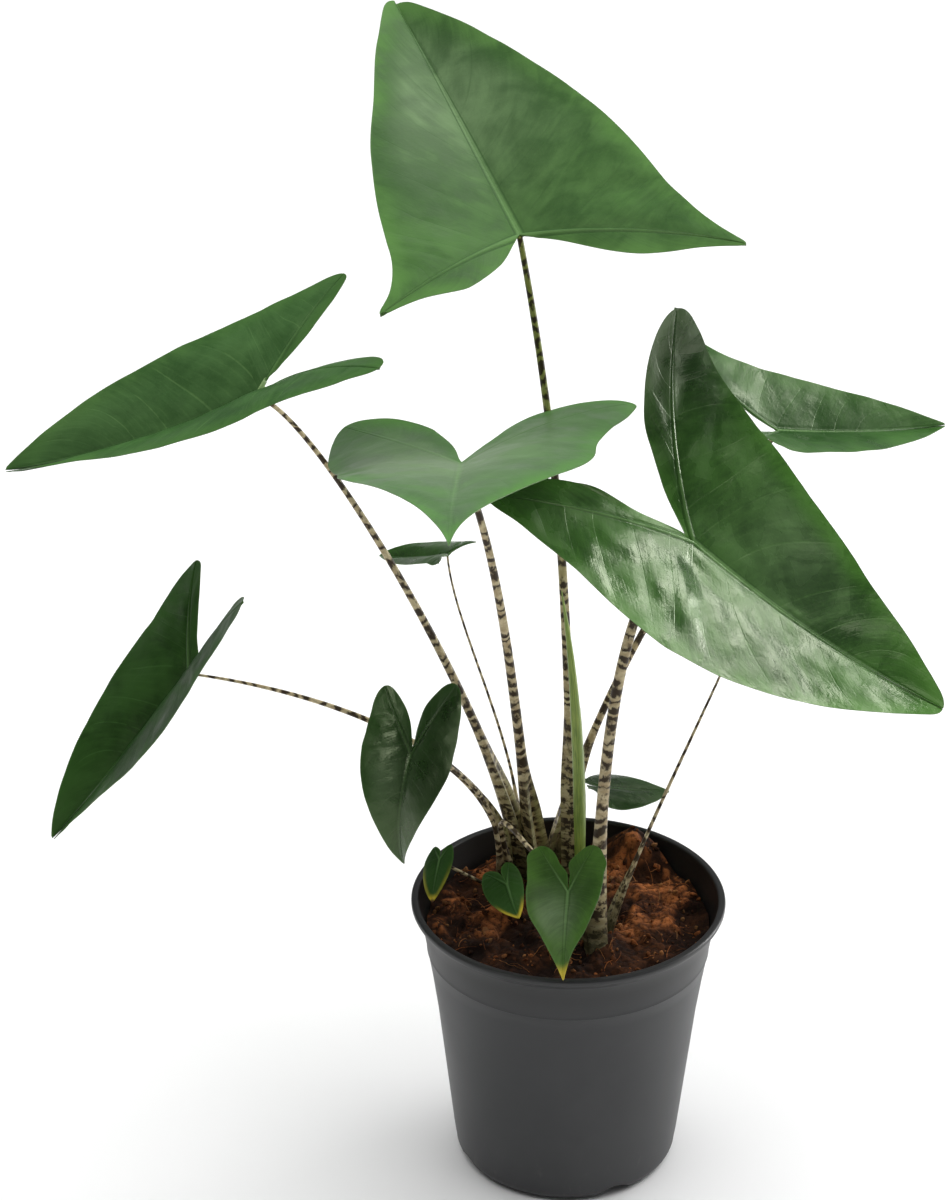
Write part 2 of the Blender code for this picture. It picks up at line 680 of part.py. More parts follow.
def soilTop(x, y):
    """Height of the soil's surface, with its lumps, the mound at the back and the low edge."""
    away = math.hypot(x, y)
    lump = noise.noise(Vector((x, y, 0.013)) / SOIL_LUMP_SIZE)
    fine = noise.noise(Vector((x, y, 0.041)) / (SOIL_LUMP_SIZE * 0.45))
    mound = math.exp(-math.dist((x, y), SOIL_MOUND["at"]) ** 2 / SOIL_MOUND["width"] ** 2)
    edge = SOIL_EDGE_DROP * (away / wallRadius(SOIL_HEIGHT)) ** 8
    return SOIL_HEIGHT + SOIL_LUMP * (lump + 0.4 * fine) + SOIL_MOUND["height"] * mound - edge


def makeSoil(parts, cutters, holes):
    """Fills the pot to its wall; its top is lumpy; petioles and rhizomes have their holes in it."""
    wall = [
        (wallRadius(height) - POT_WALL - SOIL_CLEARANCE, height)
        for height in (0.160, 0.140, 0.115)
    ]
    edge = wallRadius(SOIL_HEIGHT - SOIL_EDGE_DROP - SOIL_LUMP) - POT_WALL - SOIL_CLEARANCE
    floor = FLOOR_TOP + SOIL_CLEARANCE
    bottomRadius = wallRadius(CORNER_RADIUS) - POT_WALL - 0.0068
    top = [(edge * ring / SOIL_RINGS, SOIL_HEIGHT) for ring in range(SOIL_RINGS + 1)]
    corner = [(wallRadius(0.020) - POT_WALL - 0.0012, 0.0160), (bottomRadius, floor)]
    blank = turned("soil_blank", top + wall + corner + [(0.0, floor)], POT_SEGMENTS, cutters)
    mesh = evaluatedMesh(blank)
    bpy.data.objects.remove(blank, do_unlink=True)
    weld(mesh)
    for vertex in mesh.vertices:
        if vertex.co.z > SOIL_HEIGHT - 0.001:
            vertex.co.z = soilTop(vertex.co.x, vertex.co.y)
    smooth(mesh, math.radians(60))
    finish = material("coir", COLOURS["soil"], 0.95)
    soil = addMesh("soil", mesh, parts, finish)
    for cutter in holes:
        cut(soil, cutter)
    return soil


def holeCutters(routes, cutters):
    """The buried part of each petiole and of the new leaf, a little larger than it is."""
    made = []
    for name, (route, radii) in routes.items():
        reach = int((route[:, 2] < SOIL_HEIGHT + 0.02).sum()) + 1
        points = route[:reach].copy()
        points[0, 2] -= GAP * 2
        made.append(tube(f"hole_{name}", points, radii[:reach] + SOIL_CLEARANCE, cutters))
    return made


def main():
    clearScene()
    parts = newCollection("potted_alocasia_zebrina")
    cutters = newCollection("cutters", hidden=True)
    makePot(parts, cutters)
    routes = makeLeaves(parts)
    routes["new_leaf"] = makeNewLeaf(parts)
    cavities = makeRhizomes(parts, cutters)
    makeSoil(parts, cutters, cavities + holeCutters(routes, cutters))


main()
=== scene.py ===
# Potted alocasia zebrina: the plant, pot and soil as they look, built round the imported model.
# Lengths are in metres unless a note says millimetres. The plant faces -Y, +X is the viewer's right.

import math
import random

import bpy
import numpy as np
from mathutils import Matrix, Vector, noise


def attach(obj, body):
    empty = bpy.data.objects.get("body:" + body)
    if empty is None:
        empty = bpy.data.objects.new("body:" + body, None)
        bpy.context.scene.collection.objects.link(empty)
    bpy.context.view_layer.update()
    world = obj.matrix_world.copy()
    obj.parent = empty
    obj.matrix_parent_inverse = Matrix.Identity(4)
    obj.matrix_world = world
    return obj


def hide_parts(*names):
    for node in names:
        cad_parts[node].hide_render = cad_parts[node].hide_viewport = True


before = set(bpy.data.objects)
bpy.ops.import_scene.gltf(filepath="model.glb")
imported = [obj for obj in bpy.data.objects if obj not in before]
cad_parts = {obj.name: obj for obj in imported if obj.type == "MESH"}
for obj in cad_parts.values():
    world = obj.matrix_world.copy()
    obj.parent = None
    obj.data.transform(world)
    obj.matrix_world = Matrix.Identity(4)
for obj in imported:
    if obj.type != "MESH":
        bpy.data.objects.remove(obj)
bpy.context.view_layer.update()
mm = 0.001
fullTurn = 2 * math.pi
dice = random.Random(7)
print("packed model loaded")


# Small helpers for pieces


def deselectAll():
    bpy.ops.object.select_all(action="DESELECT")


def pick(*pieces):
    deselectAll()
    for piece in pieces:
        piece.select_set(True)
    bpy.context.view_layer.objects.active = pieces[0]


def startEditing(piece):
    pick(piece)
    bpy.ops.object.mode_set(mode="EDIT")
    bpy.ops.mesh.select_all(action="SELECT")


def stopEditing():
    bpy.ops.object.mode_set(mode="OBJECT")


# A grid primitive whose rows and columns are laid on an array of points
def layGrid(name, points):
    rows, columns = points.shape[0] - 1, points.shape[1] - 1
    deselectAll()
    bpy.ops.mesh.primitive_grid_add(x_subdivisions=rows, y_subdivisions=columns, size=1)
    piece = bpy.context.object
    piece.name = piece.data.name = name
    flat = np.empty(len(piece.data.vertices) * 3)
    piece.data.vertices.foreach_get("co", flat)
    flat = flat.reshape(-1, 3)
    row = np.rint((flat[:, 0] + 0.5) * rows).astype(int)
    column = np.rint((flat[:, 1] + 0.5) * columns).astype(int)
    piece.data.vertices.foreach_set("co", points[row, column].ravel())
    piece.data.update()
    return piece, row, column


def setValues(piece, name, values):
    kind = "FLOAT_VECTOR" if np.ndim(values) == 2 else "FLOAT"
    store = piece.data.attributes.new(name, kind, "POINT")
    store.data.foreach_set("vector" if kind == "FLOAT_VECTOR" else "value", np.ravel(values))


def fillValues(piece, **values):
    for name, value in values.items():
        setValues(piece, name, np.full(len(piece.data.vertices), value))


def getValues(piece, name):
    values = np.empty(len(piece.data.vertices))
    piece.data.attributes[name].data.foreach_get("value", values)
    return values


def getPlaces(piece):
    places = np.empty(len(piece.data.vertices) * 3)
    piece.data.vertices.foreach_get("co", places)
    return places.reshape(-1, 3)


def setPlaces(piece, places):
    piece.data.vertices.foreach_set("co", np.ravel(places))
    piece.data.update()


def joinPieces(name, pieces):
    pick(*pieces)
    bpy.ops.object.join()
    piece = bpy.context.object
    piece.name = piece.data.name = name
    return piece


# Merges the seams; on a closed piece the faces are turned outwards as well
def weld(piece, distance=2e-5, closed=True):
    startEditing(piece)
    bpy.ops.mesh.remove_doubles(threshold=distance)
    if closed:
        bpy.ops.mesh.normals_make_consistent(inside=False)
    stopEditing()


def smoothShade(piece, degrees=50):
    pick(piece)
    bpy.ops.object.shade_smooth_by_angle(angle=math.radians(degrees))


def applyModifiers(piece):
    pick(piece)
    for modifier in list(piece.modifiers):
        bpy.ops.object.modifier_apply(modifier=modifier.name)


def finishPiece(piece, replaced=(), degrees=50):
    smoothShade(piece, degrees)
    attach(piece, "root")
    if replaced:
        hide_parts(*replaced)


def soften(low, high, values):
    share = np.clip((values - low) / (high - low), 0.0, 1.0)
    return share * share * (3 - 2 * share)


# One in the middle, falling off softly over a width
def bell(away, width):
    return np.exp(-((away / width) ** 2))


# How far along a route each of its points lies
def travelled(route):
    return np.concatenate([[0.0], np.cumsum(np.linalg.norm(np.diff(route, axis=0), axis=1))])


# Small helpers for materials


def startFinish(name, roughness=0.5, gloss=0.5):
    finish = bpy.data.materials.new(name)
    finish.use_nodes = True
    shader = finish.node_tree.nodes["Principled BSDF"]
    shader.inputs["Roughness"].default_value = roughness
    shader.inputs["Specular IOR Level"].default_value = gloss
    return finish, finish.node_tree, shader


def isSocket(value):
    return isinstance(value, bpy.types.NodeSocket)


# Adds a node to a given tree, or else to the tree of the first socket that feeds it
def addNode(kind, inputs, output=0, tree=None, **settings):
    if tree is None:
        tree = next(value.id_data for value in inputs.values() if isSocket(value))
    made = tree.nodes.new("ShaderNode" + kind)
    for key, value in settings.items():
        setattr(made, key, value)
    for key, value in inputs.items():
        if isSocket(value):
            tree.links.new(value, made.inputs[key])
        else:
            made.inputs[key].default_value = value
    return made.outputs[output]


def calc(operation, first, second=0.0):
    return addNode("Math", {0: first, 1: second}, operation=operation)


def times(first, second):
    return calc("MULTIPLY", first, second)


def plus(first, *others):
    for other in others:
        first = calc("ADD", first, other)
    return first


# Zero on the whole numbers, rising to a half between them
def zigzag(phase):
    return calc("PINGPONG", phase, 0.5)


def ramp(value, low, high, start=0.0, end=1.0):
    inputs = {0: value, 1: low, 2: high, 3: start, 4: end}
    return addNode("MapRange", inputs, interpolation_type="SMOOTHSTEP")


# Lays colours over a first one, each as thickly as its amount says
def paint(colour, *coats):
    for amount, coat in coats:
        pair = [(*value, 1.0) if isinstance(value, tuple) else value for value in (colour, coat)]
        colour = addNode("Mix", {0: amount, 6: pair[0], 7: pair[1]}, 2, data_type="RGBA")
    return colour


def speckle(vector, scale, detail=2.0, roughness=0.5, distortion=0.0):
    inputs = {"Vector": vector, "Scale": scale, "Detail": detail, "Roughness": roughness}
    return addNode("TexNoise", {**inputs, "Distortion": distortion})


def stored(tree, name, output=2):
    return addNode("Attribute", {}, output, tree, attribute_name=name)


def objectPlace(tree):
    return addNode("TexCoord", {}, 3, tree)


def flatPlace(tree):
    return addNode("UVMap", {}, 0, tree, uv_map="flat")


def pointAt(x, y):
    return addNode("CombineXYZ", {0: x, 1: y})


def stretched(vector, scale):
    return addNode("Mapping", {"Vector": vector, "Scale": scale})


def addBump(shader, height, strength, distance):
    bump = addNode("Bump", {"Height": height, "Strength": strength, "Distance": distance})
    wire(shader, Normal=bump)


def wire(shader, **sockets):
    for name, value in sockets.items():
        shader.id_data.links.new(value, shader.inputs[name.replace("_", " ")])


# Blades

bladeLook = {
    "ribColour": (0.12, 0.24, 0.075), "underRib": (0.20, 0.32, 0.12), "edgeColour": (0.06, 0.14, 0.03),
    # This line opens with a painted sheen: a pale green that stands in for highlights on the blade
    "paintedSheenColour": (0.23, 0.315, 0.185), "yellow": (0.52, 0.40, 0.03), "brown": (0.10, 0.045, 0.015),
    # shaded: how dark the deep green grows under painted shade
    "glossColour": (0.88, 1.0, 0.66), "shaded": 0.45, "paler": 1.35,
    "lamina": 0.55 * mm, "margin": 0.35 * mm, "marginSpan": 6 * mm, "ribEndSpan": 12 * mm,
    # half a rib's width: its millimetres at the least, and how many more for a metre of blade
    "ribWidth": 0.8, "ribGrowth": 4.2, "fullLength": 0.2,
    "quilt": 0.5 * mm, "fold": 1.9 * mm, "pucker": 0.6 * mm, "edgeWave": 0.8 * mm,
    "ribHeight": 0.75 * mm, "groove": 0.4 * mm, "grooveAt": 2.0, "grooveWidth": 0.7,
    # on the largest blades, how far quilts and folds keep off ribs and margins, and how far waves reach
    "reliefSpan": 8 * mm, "calmSpan": 13 * mm, "waveSpan": 14 * mm,
    # noise cells along a metre of the largest blades
    "foldCells": 27, "puckerCells": 72, "slowCells": 30, "quickCells": 80,
    "veins": 12, "veinSweep": 0.10, "branches": 5.0, "glowSpan": 16 * mm,
    "veinUneven": 0.016, "columnPower": 1.6, "seamWidth": 0.08,
    # how strongly the stretches of a margin follow the directions at their ends, and where the inner
    # margin's middle lies along the lobe
    "marginEase": 0.9, "lobeEndEase": 0.45, "middleEase": 0.8, "innerMiddle": 0.55,
    "edgeStain": (0.6 * mm, 3.2 * mm), "stainEnds": (14 * mm, 32 * mm), "paintedSheenStarts": (0.01, 0.1),
    "veinsStart": (1 * mm, 14 * mm), "edgeLine": (1.5 * mm, 0.3 * mm),
    # sizes of the markings, as noise cells along a metre
    "broad": 11, "patches": 38, "fine": 420, "strokes": 60, "wrinkles": 230, "crinkle": 210,
    "underPatches": 90, "underNet": 500,
}

# The tones of blade: two greens of the lamina and its glow at the margin, its side veins and how
# plainly veins and ribs show, how dark the painted shade in the grooves is, its underside and its gloss
commonTone = {"grooveShadeShow": 0.5, "under": (0.085, 0.150, 0.070), "sheen": 0.0, "bump": 0.5}
bladeTones = {
    "dark": {
        "deep": (0.007, 0.026, 0.004), "fresh": (0.021, 0.066, 0.010), "glow": (0.024, 0.075, 0.012),
        "vein": (0.05, 0.12, 0.03), "veinShow": 0.14, "ribShow": 0.35,
        "under": (0.075, 0.130, 0.060), "roughness": 0.27, "gloss": 0.60,
    },
    "glossy": {
        "deep": (0.010, 0.040, 0.006), "fresh": (0.042, 0.125, 0.019), "glow": (0.062, 0.180, 0.024),
        "vein": (0.07, 0.16, 0.040), "veinShow": 0.22, "ribShow": 0.65,
        "roughness": 0.24, "gloss": 0.56,
    },
    "velvet": {
        "deep": (0.008, 0.031, 0.004), "fresh": (0.023, 0.074, 0.011), "glow": (0.026, 0.082, 0.013),
        "vein": (0.05, 0.13, 0.03), "veinShow": 0.30, "ribShow": 0.50, "grooveShadeShow": 0.4,
        "under": (0.075, 0.130, 0.060), "roughness": 0.42, "gloss": 0.22,
    },
    "soft": {
        "deep": (0.020, 0.066, 0.014), "fresh": (0.048, 0.122, 0.032), "glow": (0.050, 0.135, 0.026),
        "vein": (0.09, 0.19, 0.055), "veinShow": 0.34, "ribShow": 0.50, "grooveShadeShow": 0.4,
        "roughness": 0.42, "gloss": 0.26,
    },
    "mid": {
        "deep": (0.014, 0.052, 0.009), "fresh": (0.038, 0.108, 0.022), "glow": (0.045, 0.130, 0.022),
        "vein": (0.07, 0.16, 0.040), "veinShow": 0.22, "ribShow": 0.60,
        "roughness": 0.30, "gloss": 0.55,
    },
    "light": {
        "deep": (0.021, 0.066, 0.013), "fresh": (0.047, 0.124, 0.025), "glow": (0.062, 0.165, 0.028),
        "vein": (0.020, 0.06, 0.014), "veinShow": 0.22, "ribShow": 0.50, "grooveShadeShow": 0.8,
        "under": (0.110, 0.190, 0.085), "roughness": 0.40, "gloss": 0.50, "sheen": 0.04, "bump": 0.4,
    },
    "satin": {
        "deep": (0.031, 0.090, 0.020), "fresh": (0.055, 0.142, 0.034), "glow": (0.064, 0.195, 0.028),
        "vein": (0.040, 0.09, 0.030), "veinShow": 0.14, "ribShow": 0.60, "grooveShadeShow": 0.12,
        "under": (0.110, 0.190, 0.085), "roughness": 0.44, "gloss": 0.40, "sheen": 0.05, "bump": 0.4,
    },
    "young": {
        "deep": (0.015, 0.048, 0.005), "fresh": (0.046, 0.122, 0.014), "glow": (0.060, 0.150, 0.018),
        "vein": (0.12, 0.22, 0.06), "veinShow": 0.25, "ribShow": 0.60,
        "under": (0.110, 0.190, 0.085), "roughness": 0.34, "gloss": 0.50,
    },
}

# What the blades share. Pairs are left half, right half; sizes are shares of the blade's length, which
# is in metres; angles are in degrees
commonBlade = {
    "lobe": (0.56, 0.56), "spread": (34, 34), "width": (0.40, 0.40), "shoulder": 0.01,
    "fold": (15, 15), "camber": 20, "droop": 5, "droopPower": 1.4, "lobeDroop": (5, 5),
    "twist": 0, "tipAngle": 28, "flare": 6, "lobeRound": (66, 66), "bulge": 0.08, "ribDepth": 1.6,
    "tone": "dark", "rows": 40, "columns": 20, "tipBrown": 0, "tipYellow": 0,
    "edgeYellow": 0.0, "green": 0.0, "notch": 0.05, "tipShift": (0, 0),
    "outer": ((0,) * 7, (0,) * 7), "inner": ((0,) * 3, (0,) * 3), "crumple": 1.0, "shade": 0.0,
    "tipBlunt": 0.03, "lobeBlunt": 0.08, "paintedSheen": 0.0, "paintedSheenAt": (0, 0), "paintedSheenReach": 60,
    "shadeAt": (0, 0), "shadeReach": 900, "ribRelief": 1.0,
}

# In millimetres: at, base, bends, radii, ribDepth, outer, inner, tipShift, tipBrown, tipYellow and the
# places and reaches of the painted sheen and the painted shade. Heading turns from +X, pitch rises, roll
# lowers the right half
leaves = {
    "top": {
        "at": (-34, 80, 638), "heading": 108, "pitch": 15, "roll": -8, "length": 0.271,
        "lobe": (0.56, 0.58), "spread": (55, 56), "width": (0.34, 0.36), "shoulder": 0.06,
        "fold": (29, 26), "camber": 23, "droop": -2, "lobeDroop": (-5, 4), "tipAngle": 30, "flare": 8,
        "lobeRound": (18, 18), "ribDepth": 2.2, "notch": 0, "tipShift": (-4, 9), "tipBlunt": 0.11,
        "lobeBlunt": 0.05, "inner": ((-4, 0, 2), (-2, -1, -2)),
        "outer": ((-3, -5, -2, -1, -1, -2, -2), (1, 0, 0, -2, -2, 0, 0)), "base": (8, 34),
        "bends": ((-5, 48, 341), (4, 76, 427)), "radii": (6.8, 3.3, 1.9), "tone": "light",
        "crumple": 0.7, "rows": 64, "columns": 34, "green": 0.9, "paintedSheen": 0.42, "paintedSheenAt": (-40, 150),
        "paintedSheenReach": 88, "ribRelief": 0.8,
    },
    "upper_left": {
        "at": (-200, 30, 549), "heading": 180, "pitch": -25, "roll": -5, "length": 0.172,
        "lobe": (0.75, 0.63), "spread": (44, 41), "width": (0.48, 0.38), "shoulder": -0.02,
        "fold": (40, 41), "camber": 42, "droop": -16, "droopPower": 1.2, "lobeDroop": (12, -6),
        "twist": -9, "tipAngle": 37, "flare": 5, "lobeRound": (55, 47), "bulge": 0.06, "notch": -0.03,
        "tipShift": (1, 1), "lobeBlunt": 0.13, "inner": ((2, 2, 0), (0, -1, -1)),
        "outer": ((1, 0, -1, -1, -3, -6, -5), (1, 2, 1, 0, -1, -1, -1)), "base": (-30, 50),
        "bends": ((-35, 43, 282), (-163, 38, 536)), "radii": (6.8, 3.1, 1.35), "tone": "soft",
        "rows": 52, "columns": 28,
    },
    "middle": {
        "at": (-71, -30, 530), "heading": 268, "pitch": 17, "roll": 11, "length": 0.241,
        "lobe": (0.7, 0.66), "spread": (43, 31), "width": (0.36, 0.31), "shoulder": 0.13,
        "fold": (15, 19), "camber": 30, "droop": 8, "droopPower": 2.1, "lobeDroop": (0, -17),
        "twist": -12, "tipAngle": 5, "flare": 1, "lobeRound": (44, 52), "bulge": 0.12, "ribDepth": 2,
        "notch": 0.04, "tipShift": (0, 5), "tipBlunt": 0.015, "lobeBlunt": 0.06,
        "inner": ((3, 3, 0), (0, 0, 2)),
        "outer": ((-4, -1, 0, -1, -2, -3, -2), (1, 2, 1, 1, 2, 3, 1)), "base": (-20, 58),
        "bends": ((-34, 36, 282), (-40, 3, 435)), "radii": (7.4, 3.5, 2.1), "tone": "satin",
        "crumple": 0.6, "rows": 60, "columns": 32, "paintedSheen": 0.5, "paintedSheenAt": (30, 5), "paintedSheenReach": 85,
        "ribRelief": 0.4,
    },
    "rear_right": {
        "at": (140, 140, 474), "heading": 30, "pitch": -15, "roll": 18, "length": 0.14,
        "lobe": (0.71, 0.56), "spread": (28, 39), "width": (0.33, 0.34), "shoulder": 0.02,
        "fold": (32, 29), "camber": 13, "droop": -10, "lobeDroop": (-28, -24), "twist": 5,
        "tipAngle": 29, "flare": 11, "lobeRound": (73, 73), "bulge": 0.04, "notch": 0.01,
        "tipShift": (-1, 2), "lobeBlunt": 0.06, "inner": ((2, 0, -2), (1, 2, 1)),
        "outer": ((-1, -2, -2, -1, -1, -2, -2), (3, 4, 2, 0, 0, 0, 1)), "base": (-10, 72),
        "bends": ((14, 95, 289), (75, 118, 392)), "radii": (5.8, 2.6, 1.7), "tone": "mid",
        "crumple": 0.8, "rows": 48, "columns": 26,
    },
    "big_right": {
        "at": (76, -10, 466), "heading": 3, "pitch": -43, "roll": 33, "length": 0.205,
        "lobe": (0.81, 0.78), "spread": (36, 24), "width": (0.41, 0.46), "shoulder": 0.04,
        "fold": (25, 11), "camber": 6, "droop": -20, "droopPower": 1.3, "lobeDroop": (-23, 19),
        "tipAngle": 37, "flare": 11, "lobeRound": (46, 38), "bulge": 0.1, "ribDepth": 2.4,
        "notch": 0.04, "tipShift": (-1, 5), "tipBlunt": 0.09, "lobeBlunt": 0.12,
        "inner": ((4, 3, 0), (1, 0, -4)),
        "outer": ((0, -1, 0, 1, -1, -3, -1), (-1, -1, -1, -2, -3, -4, -3)), "base": (18, -42),
        "bends": ((18, -4, 262), (25, -14, 451)), "radii": (7.6, 4, 3), "tone": "glossy",
        "shade": 0.75, "crumple": 1.15, "rows": 64, "columns": 34, "paintedSheen": 0.22,
        "paintedSheenAt": (-38, 70), "shadeAt": (-80, -112), "shadeReach": 85, "ribRelief": 0.7,
    },
    "rear_small": {
        "at": (-81, 120, 391), "heading": 141, "pitch": -22, "roll": -1, "length": 0.063,
        "lobe": (0.52, 0.37), "spread": (60, 58), "width": (0.38, 0.38), "fold": (34, 30),
        "camber": 52, "droop": -11, "lobeDroop": (-9, 8), "twist": -9, "tipAngle": 46, "flare": 4,
        "bulge": 0.02, "ribDepth": 1.1, "notch": 0.02, "tipShift": (0, 0.5), "lobeBlunt": 0.1,
        "inner": ((0, 0, 0), (-0.5, -1, -1)),
        "outer": ((0.5, 0.5, 0, -0.5, -0.5, -0.5, -0.5), (0.5, 0.5, 0.5, 0, 0, 0, 0)),
        "base": (-36, 66), "bends": ((-18, 84, 238), (-76, 102, 338)), "radii": (2.2, 1, 0.7),
    },
    "right_small": {
        "at": (26, 100, 223), "heading": 12, "pitch": -14, "roll": 1, "length": 0.048,
        "lobe": (0.34, 0.34), "spread": (30, 30), "width": (0.45, 0.5), "shoulder": 0.08,
        "fold": (9, 10), "camber": 33, "droop": -7, "lobeDroop": (9, -20), "twist": 9, "tipAngle": 43,
        "flare": -4, "lobeRound": (61, 61), "ribDepth": 1.1, "tipShift": (0, 0.5),
        "inner": ((0, 0, 0), (1, 0, -0.5)),
        "outer": ((-1, -0.5, 2, -0.5, -1, -1, -1.5), (1, 0.5, 0, 0.5, 2, -1, -2.5)), "base": (22, 44),
        "bends": ((24, 58, 205), (22, 80, 222)), "radii": (2.6, 1.6, 1.2), "shade": 0.45,
    },
    "lower_left": {
        "at": (-248, 0, 366), "heading": 195, "pitch": -51, "roll": 0, "length": 0.145,
        "lobe": (0.7, 0.57), "spread": (40, 46), "width": (0.5, 0.35), "fold": (37, 37), "camber": 37,
        "droop": -3, "lobeDroop": (1, -8), "twist": -12, "tipAngle": 38, "flare": 3,
        "lobeRound": (63, 62), "bulge": 0.07, "notch": 0.08, "tipShift": (1, 2), "lobeBlunt": 0.12,
        "inner": ((0, -1, -1), (-1, -2, -2)),
        "outer": ((0, 1, 1, -2, -4, -4, -2), (1, 0, 1, 2, 2, 1, 0)), "base": (-42, 44),
        "bends": ((-31, 30, 287), (-161, 16, 344)), "radii": (5, 2.5, 0.8), "tone": "velvet",
        "rows": 48, "columns": 26,
    },
    "dark_heart": {
        "at": (-104, -20, 317), "heading": 240, "pitch": -60, "roll": 1, "length": 0.081,
        "lobe": (0.71, 0.62), "spread": (23, 36), "width": (0.41, 0.42), "shoulder": 0.05,
        "fold": (24, 26), "camber": 29, "droop": 55, "droopPower": 1.5, "lobeDroop": (5, -2),
        "twist": 2, "tipAngle": 21, "flare": 5, "lobeRound": (63, 63), "bulge": 0.11, "ribDepth": 1.2,
        "notch": 0.06, "tipShift": (0, 1.5), "lobeBlunt": 0.12,
        "inner": ((1, 2, 1.5), (-0.5, -0.5, 0)),
        "outer": ((-0.5, -0.5, 0, 1, 0, -0.5, -0.5), (0, 0, 0.5, 0, -1, -1.5, -0.5)),
        "base": (-46, 34), "bends": ((-41, 20, 251), (-66, 2, 298)), "radii": (3.4, 1.7, 1.1),
        "shade": 0.7, "crumple": 1.2, "paintedSheen": 0.25, "paintedSheenAt": (14, 20), "paintedSheenReach": 20,
        "shadeAt": (-24, 10), "shadeReach": 40,
    },
    "hidden": {
        "at": (107, 40, 363), "heading": 20, "pitch": -20, "roll": 5, "length": 0.058,
        "fold": (16, 16), "ribDepth": 1.1, "base": (26, -21), "bends": ((42, -1, 227), (79, 20, 301)),
        "radii": (3.4, 1.3, 0.7),
    },
    "front": {
        "at": (-2, -62, 238), "heading": 264, "pitch": -29, "roll": 15, "length": 0.063,
        "lobe": (0.58, 0.62), "spread": (28, 35), "width": (0.4, 0.43), "fold": (19, 20),
        "camber": 15, "droop": 13, "lobeDroop": (0, 2), "twist": 11, "tipAngle": 20, "flare": 4,
        "lobeRound": (80, 80), "bulge": 0.12, "ribDepth": 1.2,
        "inner": ((1.5, 4, 0.5), (0.5, -1.5, 1)),
        "outer": ((-1, 1, 0.5, 0, 0, 1.5, 0.5), (0, 0, 1.5, 0.5, -0.5, 0, 2)), "base": (-32, 29),
        "bends": ((-62, 41, 271), (-36, -4, 246)), "radii": (2.5, 1.8, 1.5), "tone": "young",
        "tipYellow": 14, "paintedSheen": 0.6, "paintedSheenAt": (12, 18), "paintedSheenReach": 18,
    },
    "yellow_edge": {
        "at": (-41, -4, 208), "heading": 283, "pitch": -20, "roll": 6, "length": 0.04,
        "lobe": (0.57, 0.57), "spread": (15, 36), "width": (0.28, 0.42), "shoulder": -0.01,
        "fold": (-5, -14), "camber": 14, "droop": -40, "lobeDroop": (14, 13), "tipAngle": 19,
        "bulge": 0.12, "ribDepth": 1.1, "base": (-31, 22), "bends": ((-33, 14, 193), (-38, 6, 199)),
        "radii": (2.2, 1.5, 1.1), "tone": "velvet", "tipYellow": 12, "edgeYellow": 1,
    },
    "rim": {
        "at": (-86, 10, 219), "heading": 256, "pitch": -33, "roll": 22, "length": 0.031,
        "lobe": (0.43, 0.41), "spread": (32, 35), "width": (0.35, 0.4), "shoulder": 0.05,
        "fold": (10, 6), "camber": 25, "droop": 13, "tipAngle": 45, "flare": -2, "bulge": 0.1,
        "ribDepth": 1, "base": (-38, 15), "bends": ((-53, 15, 199), (-72, 12, 206)),
        "radii": (1.9, 1.3, 1), "tone": "velvet", "crumple": 0.6, "tipBrown": 3, "tipYellow": 9,
        "edgeYellow": 0.4,
    },
}
leaves = {name: {**commonBlade, **leaf} for name, leaf in leaves.items()}


def easedLine(start, end, leave, arrive, count):
    share = np.linspace(0.0, 1.0, count)[:, None]
    return (
        (2 * share**3 - 3 * share**2 + 1) * start + (share**3 - 2 * share**2 + share) * leave
        + (3 * share**2 - 2 * share**3) * end + (share**3 - share**2) * arrive
    )


# Grows a margin outwards, or draws it in, by pushes in millimetres at even stations along it
def pushMargin(margin, pushes, length):
    share = np.linspace(0.0, len(pushes) + 1.0, len(margin))
    station = np.minimum(share.astype(int), len(pushes))
    table = np.array((0.0, *pushes, 0.0)) * mm / length
    eased = soften(0.0, 1.0, share - station)
    amount = table[station] * (1 - eased) + table[station + 1] * eased
    ahead = np.gradient(margin, axis=0)
    ahead /= np.linalg.norm(ahead, axis=1)[:, None]
    return margin + amount[:, None] * np.column_stack([-ahead[:, 1], ahead[:, 0]])


# Where the midrib ends: moved by the leaf's tipShift, then drawn in as the tip is rounded
def bladeTip(leaf, side):
    shiftX, shiftY = np.array(leaf["tipShift"]) * mm / leaf["length"]
    blunting = 0.5 * leaf["tipBlunt"] * math.cos(math.radians(leaf["tipAngle"]))
    return np.array((shiftX if side else -shiftX, 1.0 + shiftY - blunting))


# Draws in the part of a margin that lies within reach of a corner, so that the corner is rounded
def roundCorner(margin, corner, reach, pull):
    away = np.linalg.norm(margin - corner, axis=1)
    return margin + (np.clip(1 - away / reach, 0.0, 1.0) ** 2)[:, None] * pull


